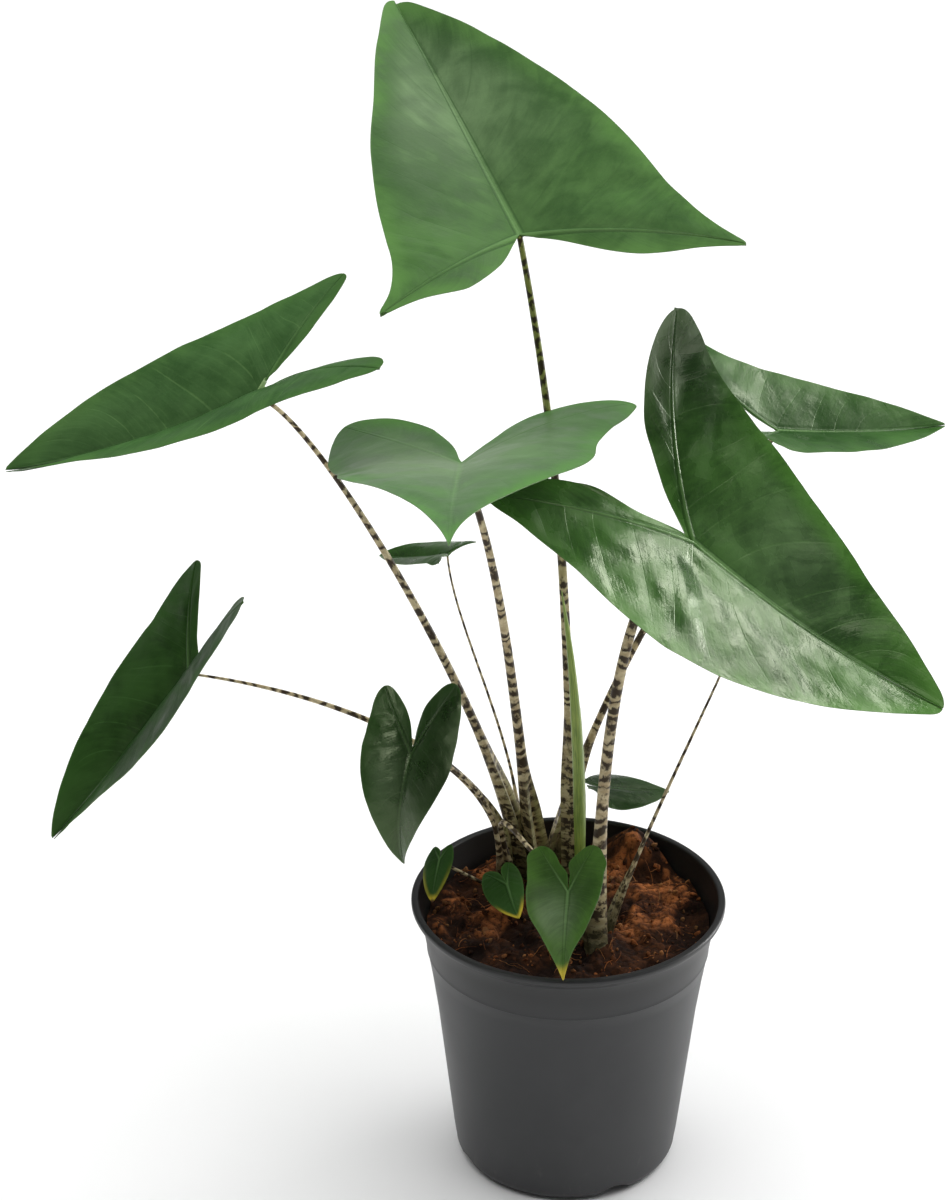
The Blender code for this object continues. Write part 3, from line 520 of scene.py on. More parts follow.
# One half laid flat: its outer margin from tip to lobe end, and its inner one on to the notch
def flatMargins(leaf, side):
    angles = (leaf["spread"][side], leaf["flare"], leaf["tipAngle"], leaf["lobeRound"][side])
    spread, flare, tipAngle, lobeRound = (math.radians(value) for value in angles)
    lobe, stations, ease = leaf["lobe"][side], leaf["rows"], bladeLook["marginEase"]
    along = np.array((math.sin(spread), -math.cos(spread)))
    inward = np.array((-math.cos(spread), -math.sin(spread)))
    lobeEnd = lobe * along
    tipPull = np.array((0.0, -0.5 * leaf["tipBlunt"] * math.cos(tipAngle)))
    lobePull = -0.5 * leaf["lobeBlunt"] * math.cos(lobeRound) * along
    tip = bladeTip(leaf, side) - tipPull
    notch = np.array((0.0, -leaf["notch"]))
    widest = np.array((leaf["width"][side], leaf["shoulder"]))
    atTip = np.array((math.sin(tipAngle), -math.cos(tipAngle)))
    atWidest = np.array((math.sin(flare), -math.cos(flare)))
    intoEnd = math.cos(lobeRound) * along + math.sin(lobeRound) * inward
    fromEnd = -math.cos(lobeRound) * along + math.sin(lobeRound) * inward
    toWidest, toEnd = np.linalg.norm(tip - widest), np.linalg.norm(widest - lobeEnd)
    front = easedLine(tip, widest, atTip * toWidest, atWidest * toWidest * ease, stations)
    back = easedLine(widest, lobeEnd, atWidest * toEnd * ease, intoEnd * lobe * ease, stations)
    middle = along * lobe * bladeLook["innerMiddle"] + inward * leaf["bulge"]
    toMiddle, toNotch = np.linalg.norm(lobeEnd - middle), np.linalg.norm(middle - notch)
    half = (stations + 1) // 2
    leaveEnd, reachMiddle = fromEnd * lobe * bladeLook["lobeEndEase"], toMiddle * bladeLook["middleEase"]
    inner = easedLine(lobeEnd, middle, leaveEnd, -along * reachMiddle, half)
    intoNotch = (notch - middle) * ease
    closing = easedLine(middle, notch, -along * toNotch * ease, intoNotch, stations + 1 - half)
    outerEdge = pushMargin(np.vstack([front, back[1:]]), leaf["outer"][side], leaf["length"])
    innerEdge = pushMargin(np.vstack([inner, closing[1:]]), leaf["inner"][side], leaf["length"])
    outerEdge = roundCorner(outerEdge, tip, leaf["tipBlunt"], tipPull)
    outerEdge = roundCorner(outerEdge, lobeEnd, leaf["lobeBlunt"], lobePull)
    innerEdge = roundCorner(innerEdge, lobeEnd, leaf["lobeBlunt"], lobePull)
    return outerEdge, innerEdge, lobeEnd + lobePull


# Folds, cups, droops and twists flat points of one half, with their relief, into right, forward, up
def bendBlade(flat, leaf, side, relief=0.0):
    across, along, longest = flat[:, 0], flat[:, 1], 1.05
    fold = math.radians(leaf["fold"][side])
    curl = math.radians(leaf["camber"]) / max(leaf["width"])
    outward = (math.sin(fold) - np.sin(fold - curl * across)) / curl
    rise = (np.cos(fold - curl * across) - math.cos(fold)) / curl + relief
    droop, power = math.radians(leaf["droop"]), leaf["droopPower"]
    own, shared = leaf["lobeDroop"][side], sum(leaf["lobeDroop"]) / 2
    apart = np.clip(across / bladeLook["seamWidth"], 0.0, 1.0)
    lobeCurl = 2 * np.radians(shared + (own - shared) * apart) + 1e-6
    sample = np.linspace(0.0, longest, 120)
    slope = droop * sample**power
    reach, fall = (
        np.concatenate([[0.0], np.cumsum((wave(slope[1:]) + wave(slope[:-1])) / 2 * np.diff(sample))])
        for wave in (np.cos, np.sin)
    )
    ahead, behind = np.clip(along, 0.0, longest), np.minimum(along, 0.0)
    forward = np.interp(ahead, sample, reach) + np.sin(lobeCurl * behind) / lobeCurl
    height = -np.interp(ahead, sample, fall) + (np.cos(lobeCurl * behind) - 1) / lobeCurl
    tilt = np.where(along >= 0, droop * ahead**power, lobeCurl * behind)
    turn = math.radians(leaf["twist"]) * along
    outward = outward if side else -outward
    right = outward * np.cos(turn) + rise * np.sin(turn)
    up = -outward * np.sin(turn) + rise * np.cos(turn)
    return np.column_stack([right, forward + up * np.sin(tilt), height + up * np.cos(tilt)])


def bladeAxes(leaf):
    heading, pitch, roll = (math.radians(leaf[key]) for key in ("heading", "pitch", "roll"))
    forward = Vector(
        (math.cos(heading) * math.cos(pitch), math.sin(heading) * math.cos(pitch), math.sin(pitch))
    )
    level = Vector((math.sin(heading), -math.cos(heading), 0.0))
    upright = level.cross(forward)
    right = level * math.cos(roll) + forward.cross(level) * math.sin(roll)
    up = upright * math.cos(roll) + forward.cross(upright) * math.sin(roll)
    return np.array((right, forward, up))


# What each point of a panel knows of its blade; share runs from the rib (0) to the margin (1)
def panelValues(leaf, side, isOuter, flat, ribShare, share, reach):
    lobePart = np.clip(ribShare * 2 - 1, 0.0, 1.0)
    ahead = np.clip(ribShare * 2, 0.0, 1.0)
    onMidrib = ribShare < 0.5
    taper = np.where(onMidrib, 0.22 + 0.78 * ahead**0.8, 0.2 + 0.8 * (1 - lobePart) ** 1.2)
    ribHalf = (bladeLook["ribWidth"] + bladeLook["ribGrowth"] * leaf["length"]) * mm * taper
    sweep = bladeLook["veinSweep"] * share**1.3 * (1 if isOuter else -1)
    uneven = bladeLook["veinUneven"] * np.sin(21.0 * ribShare + 40 * leaf["length"])
    fromTip = (flat - bladeTip(leaf, side)) * leaf["length"]
    return {
        "ribDistance": reach * share,
        "ribNear": reach * share / ribHalf,
        "ribPale": np.where(onMidrib, ahead**1.4, (1 - lobePart) ** 1.5),
        "edgeDistance": reach * (1 - share),
        "veinPhase": bladeLook["veins"] * (ribShare + uneven + sweep + 0.003),
        "innerPart": np.full(len(share), 0.0 if isOuter else 1.0),
        "flatX": flat[:, 0] * leaf["length"] * (1 if side else -1),
        "flatY": flat[:, 1] * leaf["length"],
        "tipDistance": np.hypot(*fromTip.T),
    }


def noiseOver(first, second, scale, depth):
    return np.array([noise.noise(Vector((x, y, depth))) for x, y in zip(first * scale, second * scale)])


# Veins sunk between soft quilts, a raised midrib between two grooves, and a margin that waves
def bladeRelief(values, leaf, seed):
    look = bladeLook
    rib, near, edge, phase = (
        values[name] for name in ("ribDistance", "ribNear", "edgeDistance", "veinPhase")
    )
    size = min(1.0, leaf["length"] / look["fullLength"])
    crumple = leaf["crumple"] * size
    spot = values["flatX"], values["flatY"]
    offRib, offEdge = (1 - bell(away, look["reliefSpan"] * size) for away in (rib, edge))
    calm = 1 - 0.65 * bell(edge, look["calmSpan"] * size)
    quilt = np.abs(np.sin(math.pi * phase)) ** 0.8 - 0.5
    folds = noiseOver(phase * 0.70, rib * look["foldCells"] / size, 1.0, seed)
    puckers = noiseOver(*spot, look["puckerCells"] / size, seed + 5)
    slow = noiseOver(*spot, look["slowCells"] / size, seed + 11)
    quick = noiseOver(*spot, look["quickCells"] / size, seed + 17)
    relief = crumple * look["quilt"] * (1 - 0.5 * values["innerPart"]) * quilt * offRib * offEdge
    relief += crumple * (look["fold"] * folds + look["pucker"] * puckers) * offRib * calm
    ridge = (0.4 + 0.6 * size) * np.exp(-1.1 * near**2) * (0.35 + 0.65 * values["ribPale"])
    groove = size * bell(near - look["grooveAt"], look["grooveWidth"])
    relief += leaf["ribRelief"] * (look["ribHeight"] * ridge - look["groove"] * groove)
    margin = np.exp(-edge / (look["waveSpan"] * size)) * offRib
    return relief + look["edgeWave"] * crumple * margin * (1.4 * slow + 0.15 * quick)


# A quarter of the blade: its rows run along the ribs, its columns from the rib out to a margin
def layPanel(leaf, side, isOuter, seed):
    outerEdge, innerEdge, lobeEnd = flatMargins(leaf, side)
    if isOuter:
        edge, ahead, columns = outerEdge, leaf["rows"], leaf["columns"]
        toTip = np.linspace(1.0, 0.0, ahead)
        tip = bladeTip(leaf, side)
        midrib = np.column_stack([tip[0] * toTip**3, tip[1] * toTip])
        lobeRib = np.linspace(0.0, 1.0, len(edge) - ahead + 1)[1:, None] * lobeEnd
        rib = np.vstack([midrib, lobeRib])
        ribShare = np.linspace(0.0, 1.0, len(edge))
    else:
        edge, columns = innerEdge, leaf["columns"] * 2 // 3
        rib = np.linspace(1.0, 0.0, len(edge))[:, None] * lobeEnd
        ribShare = np.linspace(1.0, 0.5, len(edge))
    share = np.linspace(0.0, 1.0, columns + 1) ** bladeLook["columnPower"]
    flat = rib[:, None] * (1 - share[None, :, None]) + edge[:, None] * share[None, :, None]
    size = flat.shape[:2]
    reach = np.linalg.norm(edge - rib, axis=1) * leaf["length"]
    flat = flat.reshape(-1, 2)
    ribShare, reach = (np.repeat(row, columns + 1) for row in (ribShare, reach))
    values = panelValues(leaf, side, isOuter, flat, ribShare, np.tile(share, len(edge)), reach)
    relief = bladeRelief(values, leaf, seed) / leaf["length"]
    bent = bendBlade(flat, leaf, side, relief) @ bladeAxes(leaf)
    points = np.array(leaf["at"]) * mm + leaf["length"] * bent
    panel, row, column = layGrid("panel", points.reshape(*size, 3))
    for name, numbers in values.items():
        setValues(panel, name, numbers.reshape(size)[row, column])
    if not side:
        startEditing(panel)
        bpy.ops.mesh.flip_normals()
        stopEditing()
    return panel


def thickenBlade(piece, leaf):
    near, edge, tip = (getValues(piece, key) for key in ("ribNear", "edgeDistance", "tipDistance"))
    depth, margin = leaf["ribDepth"] * mm, bladeLook["margin"]
    lamina = margin + (bladeLook["lamina"] - margin) * soften(0, bladeLook["marginSpan"], edge)
    swell = np.exp(-0.6 * near**2) * soften(0, bladeLook["ribEndSpan"], tip)
    group = piece.vertex_groups.new(name="thickness")
    for index, value in enumerate((lamina + (depth - lamina) * swell) / depth):
        group.add([index], float(min(1.0, value)), "REPLACE")
    shell = piece.modifiers.new("Thickness", "SOLIDIFY")
    shell.thickness = depth
    shell.offset = -1.0
    shell.vertex_group = "thickness"
    shell.thickness_vertex_group = 0.0
    shell.material_offset = 1
    applyModifiers(piece)
    piece.vertex_groups.clear()


# The only map of a blade: its flat shape in metres
def addFlatMap(piece):
    flat = np.column_stack([getValues(piece, "flatX"), getValues(piece, "flatY")])
    corners = np.empty(len(piece.data.loops), dtype=int)
    piece.data.loops.foreach_get("vertex_index", corners)
    flatMap = piece.data.uv_layers.new(name="flat")
    flatMap.data.foreach_set("uv", flat[corners].ravel())
    for layer in [layer for layer in piece.data.uv_layers if layer.name != "flat"]:
        piece.data.uv_layers.remove(layer)


def bladeFinish(name, tone):
    look = bladeLook
    finish, tree, shader = startFinish(name, tone["roughness"], tone["gloss"])
    shader.inputs["Specular Tint"].default_value = (*look["glossColour"], 1.0)
    shader.inputs["Sheen Weight"].default_value = tone["sheen"]
    shader.inputs["Sheen Roughness"].default_value = 0.45
    flat, place = flatPlace(tree), objectPlace(tree)
    near, phase, rib, edge = (
        stored(tree, key) for key in ("ribNear", "veinPhase", "ribDistance", "edgeDistance")
    )
    # Strokes run out along the side veins, as in a real lamina
    branches = times(phase, look["branches"])
    strokes = speckle(pointAt(branches, times(rib, look["strokes"])), 1.0, 4.0, 0.6, 0.6)
    broad = speckle(place, look["broad"], 3.0, 0.5)
    patches = speckle(place, look["patches"], 3.0, 0.55, 0.6)
    fine = speckle(flat, look["fine"], 2.0, 0.6)
    body = plus(times(broad, 0.5), times(patches, 0.32), times(strokes, 0.18))
    # Painted sheen: pale patches inside stand in for highlights, and the thin margin glows a fresher
    # green
    paintedSheen = times(ramp(body, 0.36, 0.58, 0.45, 1.0), stored(tree, "paintedSheen"))
    glow = times(ramp(edge, look["glowSpan"], 0.0), ramp(body, 0.36, 0.6, 0.1, 0.75))
    inside = ramp(edge, *look["veinsStart"])
    veinLine = times(ramp(zigzag(phase), 0.030, 0.008), inside)
    branchLine = times(ramp(zigzag(branches), 0.16, 0.03), inside)
    patchy = times(ramp(strokes, 0.35, 0.6), tone["veinShow"])
    ribLine = times(ramp(near, 1.10, 0.50), stored(tree, "ribPale"))
    # Painted shade: the grooves beside the midrib are darkened towards the deep green
    grooveShadeLine = ramp(calc("ABSOLUTE", calc("SUBTRACT", near, 1.7)), 0.6, 0.1)
    edgeLine = ramp(edge, *look["edgeLine"])
    colour = paint(
        tone["deep"],
        (ramp(body, 0.38, 0.62), tone["fresh"]),
        (ramp(fine, 0.45, 0.8, 0.0, 0.25), tone["fresh"]),
        (paintedSheen, look["paintedSheenColour"]),
        (glow, tone["glow"]),
        (times(branchLine, times(patchy, 0.30)), tone["vein"]),
        (times(veinLine, patchy), tone["vein"]),
        (times(grooveShadeLine, tone["grooveShadeShow"]), tone["deep"]),
        (times(ribLine, tone["ribShow"]), look["ribColour"]),
        (times(edgeLine, 0.5), look["edgeColour"]),
        # painted shade darkens the greens where the blade lies in shade
        (stored(tree, "shade"), tuple(value * look["shaded"] for value in tone["deep"])),
        (stored(tree, "yellowed"), look["yellow"]),
        (stored(tree, "browned"), look["brown"]),
    )
    rough = ramp(patches, 0.35, 0.65, tone["roughness"] - 0.04, tone["roughness"] + 0.10)
    wire(shader, Base_Color=colour, Roughness=rough)
    # Fine wrinkles, a little drawn out across the side veins, and the lines of the veins
    wrinkles = speckle(pointAt(branches, times(rib, look["wrinkles"])), 0.8, 2.0, 0.5, 0.8)
    crinkle = speckle(flat, look["crinkle"], 3.0, 0.5, 0.6)
    lines = plus(times(branchLine, -0.10), times(veinLine, -0.25))
    addBump(shader, plus(crinkle, times(wrinkles, 0.5), lines), tone["bump"], 0.35 * mm)
    return finish


def underFinish(name, tone):
    look = bladeLook
    finish, tree, shader = startFinish(name, 0.55)
    flat = flatPlace(tree)
    paler = tuple(value * look["paler"] for value in tone["under"])
    veinLine = ramp(zigzag(stored(tree, "veinPhase")), 0.06, 0.015)
    colour = paint(
        tone["under"],
        (ramp(speckle(flat, look["underPatches"], 4.0), 0.3, 0.7), paler),
        (times(veinLine, 0.5), look["ribColour"]),
        (ramp(stored(tree, "ribNear"), 1.5, 0.7), look["underRib"]),
        (stored(tree, "yellowed"), look["yellow"]),
        (stored(tree, "browned"), look["brown"]),
    )
    wire(shader, Base_Color=colour)
    addBump(shader, plus(speckle(flat, look["underNet"], 2.0), veinLine), 0.4, 0.4 * mm)
    return finish


bladeFinishes = {}
for name, tone in bladeTones.items():
    tone = {**commonTone, **tone}
    bladeFinishes[name] = bladeFinish(f"blade_{name}", tone), underFinish(f"blade_{name}_under", tone)


# How strongly painted sheen, and in the same way painted shade, lies on each point of a blade, fading
# out around its centre
def spotAmount(blade, leaf, kind):
    flatX, flatY = getValues(blade, "flatX"), getValues(blade, "flatY")
    centreX, centreY = np.array(leaf[kind + "At"]) * mm
    away = np.hypot(flatX - centreX, flatY - centreY) / (leaf[kind + "Reach"] * mm)
    return leaf[kind] * np.exp(-(away**2))


# A stain at the tip, whole over a share of its reach (in millimetres) and fading to its end
def tipStain(away, reach, whole):
    if not reach:
        return np.zeros(len(away))
    return 1 - soften(whole * reach * mm, reach * mm, away)


def makeBlade(name, leaf, seed):
    panels = [layPanel(leaf, side, isOuter, seed) for side in (0, 1) for isOuter in (True, False)]
    blade = joinPieces(f"blade_{name}", panels)
    weld(blade, closed=False)
    tip, edge = getValues(blade, "tipDistance"), getValues(blade, "edgeDistance")
    look, length = bladeLook, leaf["length"]
    edgeStain = (1 - soften(*look["edgeStain"], edge)) * (1 - soften(*look["stainEnds"], tip))
    tipPart = tipStain(tip + edge * 0.6, leaf["tipYellow"], 0.35)
    inside = soften(*look["paintedSheenStarts"], edge / length)
    # Painted sheen: pale patches standing in for highlights, kept off the margin
    setValues(blade, "paintedSheen", inside * spotAmount(blade, leaf, "paintedSheen"))
    # Painted shade: the greens darken where the blade lies in shade, in spots or over a whole small
    # blade
    setValues(blade, "shade", spotAmount(blade, leaf, "shade"))
    setValues(blade, "browned", tipStain(tip, leaf["tipBrown"], 0.4))
    setValues(blade, "yellowed", np.maximum(leaf["edgeYellow"] * edgeStain, tipPart))
    for finish in bladeFinishes[leaf["tone"]]:
        blade.data.materials.append(finish)
    thickenBlade(blade, leaf)
    addFlatMap(blade)
    finishPiece(blade, [f"leaf_{name}"], 60)


for number, (name, leaf) in enumerate(leaves.items()):
    makeBlade(name, leaf, 3.7 * number)
print("blades made")


# Petioles and the new leaf

stemLook = {
    "soilHeight": 0.181, "foot": 0.158, "footRings": 7, "ringGap": 1.6 * mm, "around": 24,
    # shares of the stem: where its second radius is met, and where the sheath closes
    "sheathShare": 0.30, "sheathCloses": (0.20, 0.34), "opensTowards": (0.0, 0.042),
    # noise cells along a metre: how bands drift, fray, widen, break up and streak
    "drift": 60, "fray": 230, "widen": 190, "blotch": 330, "shades": 300, "streaks": 700,
    # the sheath's groove and two wings: how deep or high in radii, how far round and how wide
    "groove": 0.42, "grooveWidth": 0.42, "wing": 0.66, "wingAngle": 0.78, "wingWidth": 0.26,
    "edgeAngle": 0.62, "edgeWidth": 0.16,
    "bandLength": 9.6 * mm, "greenShares": (0.3, 0.9), "sheathGreen": 0.15,
    "darkFootUpTo": (0.182, 0.216),
    "cream": (0.72, 0.61, 0.38), "tan": (0.48, 0.37, 0.21), "dark": (0.036, 0.021, 0.010),
    "green": (0.24, 0.28, 0.05), "wingColour": (0.46, 0.46, 0.19), "darkFoot": (0.034, 0.034, 0.012),
}

# Its radii in millimetres stand at shares of its length
spear = {
    "base": (8, 18), "bends": ((8, 22, 258), (6, 26, 335)), "point": (-6, 30, 410), "around": 32,
    "radii": ((0.0, 3.0), (0.12, 3.2), (0.35, 4.0), (0.6, 3.6), (0.8, 2.3), (0.93, 1.1), (1.0, 0.35)),
    "faces": (0.3, -1.0, 0.0), "streaks": 300,
    "lap": 0.13, "lapStart": 0.5, "lapTurn": 1.6, "lapFade": 0.9, "seamFade": 0.35,
    "pale": (0.36, 0.48, 0.085), "fresh": (0.18, 0.29, 0.040), "seam": (0.09, 0.15, 0.03),
}


def bezier(start, first, second, end, count):
    share = np.linspace(0.0, 1.0, count)[:, None]
    rest = 1 - share
    return rest**3 * start + 3 * rest**2 * share * first + 3 * rest * share**2 * second + share**3 * end


# Rounds off both ends of a route with a few closing rings
def closeRoute(route, radii):
    caps = []
    for end, inside in ((0, 1), (-1, -2)):
        away = (route[end] - route[inside]) / np.linalg.norm(route[end] - route[inside])
        turns = np.radians((22, 45, 68, 90))
        caps.append((
            [route[end] + away * radii[end] * 0.6 * math.sin(turn) for turn in turns],
            [radii[end] * math.cos(turn) for turn in turns],
        ))
    route = np.vstack([caps[0][0][::-1], route, caps[1][0]])
    return route, np.concatenate([caps[0][1][::-1], radii, caps[1][1]])


# A grid wrapped round a route; shape(angle, share) scales its radius, angle 0 faces openWay
def wrapTube(name, route, radii, around, openWay, shape):
    route, radii = closeRoute(route, radii)
    steps = travelled(route)
    ahead = np.gradient(route, axis=0)
    ahead /= np.linalg.norm(ahead, axis=1)[:, None]
    side = np.array(openWay, float)
    angle = np.linspace(0.0, fullTurn, around + 1)
    points = np.empty((len(route), around + 1, 3))
    for ring, (centre, forward, radius) in enumerate(zip(route, ahead, radii)):
        side = side - forward * (side @ forward)
        side /= np.linalg.norm(side)
        other = np.cross(forward, side)
        reach = radius * shape(angle, steps[ring] / steps[-1])
        points[ring] = centre + reach[:, None] * (
            np.cos(angle)[:, None] * side + np.sin(angle)[:, None] * other
        )
    points[:, -1] = points[:, 0]
    piece, row, column = layGrid(name, points)
    return piece, angle[column], steps[row]


# Markings are laid on a straightened stem of this radius
def setBand(piece, angle, along, radius, offset=0.0):
    ring = np.column_stack([np.cos(angle) * radius, np.sin(angle) * radius, along])
    setValues(piece, "band", ring + offset)


def petioleTop(leaf):
    up = bladeAxes(leaf)[2]
    place = np.array(leaf["at"]) * mm
    direction = place - np.array(leaf["bends"][1]) * mm
    direction /= np.linalg.norm(direction)
    slant = math.sqrt(max(0.0, 1 - float(direction @ up) ** 2))
    return place - up * (0.5 * leaf["ribDepth"] * mm + leaf["radii"][2] * mm * slant)


def stemRoute(stem, top):
    base = np.array((*stem["base"], stemLook["soilHeight"] / mm)) * mm
    first, second = (np.array(bend) * mm for bend in stem["bends"])
    length = travelled(bezier(base, first, second, top, 40))[-1]
    curve = bezier(base, first, second, top, max(24, int(length / stemLook["ringGap"])))
    below = stemLook["footRings"]
    foot = np.tile(base, (below, 1))
    foot[:, 2] = np.linspace(stemLook["foot"], base[2], below + 1)[:-1]
    return np.vstack([foot, curve])


def stemRadii(stem, route):
    below = stemLook["footRings"]
    steps = travelled(route[below:])
    shares = (0.0, stemLook["sheathShare"], 1.0)
    radii = np.interp(steps / steps[-1], shares, np.array(stem["radii"]) * mm)
    soft = np.convolve(np.pad(radii, 6, mode="edge"), np.ones(13) / 13, mode="valid")
    return np.concatenate([np.full(below, soft[0]), soft])


def gapTo(angle):
    return np.abs((angle + math.pi) % fullTurn - math.pi)


def sheathAmount(share):
    return 1 - soften(*stemLook["sheathCloses"], share)


def petioleShape(angle, share):
    gap = gapTo(angle)
    groove = stemLook["groove"] * bell(gap, stemLook["grooveWidth"])
    wing = stemLook["wing"] * bell(gap - stemLook["wingAngle"], stemLook["wingWidth"])
    return 1 + sheathAmount(share) * (wing - groove)


def petioleFinish():
    look = stemLook
    finish, tree, shader = startFinish("petiole_zebra", 0.5, 0.22)
    band, wing = stored(tree, "band", 1), stored(tree, "wing")
    along = addNode("SeparateXYZ", {0: band}, 2)
    slow = speckle(band, look["drift"], 1.0)
    ragged = speckle(stretched(band, (2.4, 2.4, 1.0)), look["fray"], 3.0, 0.6, 0.3)
    phase = plus(times(along, 1 / look["bandLength"]), times(slow, 3.2), times(ragged, 0.95))
    breadth = times(calc("SUBTRACT", speckle(band, look["widen"], 2.0), 0.5), 0.75)
    bands = ramp(plus(zigzag(phase), breadth), 0.12, 0.38)
    # On the sheath the bands break up into a mottle
    blotch = speckle(stretched(band, (2.0, 2.0, 0.75)), look["blotch"], 3.0, 0.6)
    mottle = ramp(plus(blotch, times(bands, 0.12)), 0.50, 0.66)
    bands = addNode("Mix", {0: stored(tree, "sheath"), 2: bands, 3: mottle}, data_type="FLOAT")
    colour = paint(
        look["tan"],
        (ramp(speckle(band, look["shades"], 3.0), 0.35, 0.7), look["cream"]),
        (stored(tree, "green"), look["green"]),
        (wing, look["wingColour"]),
        (times(bands, calc("SUBTRACT", 0.97, times(wing, 0.8))), look["dark"]),
        # darker towards the foot, near the soil
        (times(stored(tree, "darkFoot"), ramp(blotch, 0.35, 0.6, 1.0, 0.7)), look["darkFoot"]),
    )
    wire(shader, Base_Color=colour, Roughness=ramp(blotch, 0.3, 0.7, 0.36, 0.5))
    streaks = speckle(stretched(band, (6.0, 6.0, 0.5)), look["streaks"], 2.0)
    addBump(shader, streaks, 0.3, 0.25 * mm)
    return finish


zebra = petioleFinish()


def makePetiole(name, leaf, number):
    route = stemRoute(leaf, petioleTop(leaf))
    facing = np.array(stemLook["opensTowards"]) - np.array(leaf["base"]) * mm
    openWay = np.append(facing, 0.0) + 1e-4
    petiole, angle, along = wrapTube(
        f"stem_{name}", route, stemRadii(leaf, route), stemLook["around"], openWay, petioleShape
    )
    share = along / along.max()
    amount = sheathAmount(share)
    height = getPlaces(petiole)[:, 2]
    green = leaf["green"] * soften(*stemLook["greenShares"], share)
    wing = bell(gapTo(angle) - stemLook["edgeAngle"], stemLook["edgeWidth"])
    setBand(petiole, angle, along, 2 * mm, np.array((0.37, 0.21, 0.53)) * number)
    setValues(petiole, "sheath", amount)
    setValues(petiole, "wing", amount * wing)
    setValues(petiole, "green", green + stemLook["sheathGreen"] * amount)
    # darker towards the foot, near the soil
    setValues(petiole, "darkFoot", 1 - soften(*stemLook["darkFootUpTo"], height))
    weld(petiole)
    petiole.data.materials.append(zebra)
    finishPiece(petiole, [f"petiole_{name}"])


# The angle past the rolled edge, which winds round the spear as it rises
def pastLap(angle, share):
    return (angle - spear["lapStart"] - spear["lapTurn"] * share) % fullTurn


def spearShape(angle, share):
    lap = spear["lap"] * np.exp(-pastLap(angle, share) / spear["lapFade"])
    return 1 + lap * math.sin(min(1.0, share * 1.2) * math.pi) ** 0.5


def makeSpear():
    route = stemRoute(spear, np.array(spear["point"]) * mm)
    radii = np.interp(np.linspace(0.0, 1.0, len(route)), *zip(*spear["radii"])) * mm
    piece, angle, along = wrapTube("spear", route, radii, spear["around"], spear["faces"], spearShape)
    setBand(piece, angle, along, 3 * mm)
    setValues(piece, "seam", np.exp(-pastLap(angle, along / along.max()) / spear["seamFade"]))
    weld(piece)
    finish, tree, shader = startFinish("rolled_leaf", 0.38)
    streaks = speckle(stretched(stored(tree, "band", 1), (5.0, 5.0, 0.25)), spear["streaks"], 3.0)
    colour = paint(
        spear["fresh"],
        (ramp(streaks, 0.3, 0.7), spear["pale"]),
        (times(stored(tree, "seam"), 0.7), spear["seam"]),
    )
    wire(shader, Base_Color=colour)
    addBump(shader, streaks, 0.35, 0.3 * mm)
    piece.data.materials.append(finish)
    finishPiece(piece, ["new_leaf"])


for number, (name, leaf) in enumerate(leaves.items()):
    makePetiole(name, leaf, number + 1)
makeSpear()
print("petioles and new leaf made")


# Pot

pot = {
    "height": 0.1967, "wall": 1.6 * mm, "rim": 0.105, "rimWidth": 5 * mm, "lipInner": 1.3 * mm,
    "lipOuter": 1.6 * mm, "step": 0.160, "corner": 0.010, "base": 0.075, "footInner": 0.059,
    "underside": 3.5 * mm, "floor": 6.2 * mm, "boss": 0.014, "edge": 0.4 * mm, "around": 176,
    "floorRings": (0.010, 0.030, 0.050, 0.066), "floorCorner": (0.0705, 0.0075),
    # height and radius of the wall outside, then the heights of its rings inside and outside
    "wallRadii": ((0.1900, 0.1012), (0.1830, 0.0985), (0.1730, 0.0965), (0.1600, 0.0943),
                  (0.1400, 0.0910), (0.1150, 0.0874)),
    "inside": (0.03, 0.06, 0.09, 0.115, 0.14, 0.16, 0.173, 0.183, 0.188),
    "aboveStep": (0.1890, 0.1865, 0.183, 0.178, 0.173, 0.168, 0.1632),
    "belowStep": (0.15, 0.14, 0.127, 0.115, 0.1, 0.08, 0.06, 0.04, 0.02),
    "notches": 4, "notchAngle": -64.0, "notchWidth": 0.036, "notchHeight": 9.0 * mm, "notchSlope": 27.0,
    "notchInset": 7 * mm, "drains": 6, "drainRadius": 5 * mm, "drainCircle": 0.040,
    "charcoal": (0.020, 0.021, 0.023), "worn": (0.034, 0.035, 0.037), "dust": (0.09, 0.085, 0.08),
    "shadowed": (0.006, 0.006, 0.006), "roughness": 0.44,
    "clouds": 9, "scuffs": 140, "grain": 1400, "dustUpTo": 0.05, "shadowFrom": (0.150, 0.180),
}


def wallRadius(height):
    foot = (pot["corner"], pot["base"] + pot["edge"])
    return float(np.interp(height, *zip(*sorted((*pot["wallRadii"], foot)))))


# The wall's rings at some heights, outside or drawn in by its thickness
def wallRings(heights, inset=0.0):
    return [(wallRadius(height) - inset, height) for height in heights]


def arc(centre, radius, start, end, steps):
    turns = np.radians(np.linspace(start, end, steps))
    x, y = centre
    return [(x + radius * math.cos(turn), y + radius * math.sin(turn)) for turn in turns]


# Points near a corner, each so many millimetres beside and below it
def beside(corner, *steps):
    return [(corner[0] + across * mm, corner[1] - down * mm) for across, down in steps]


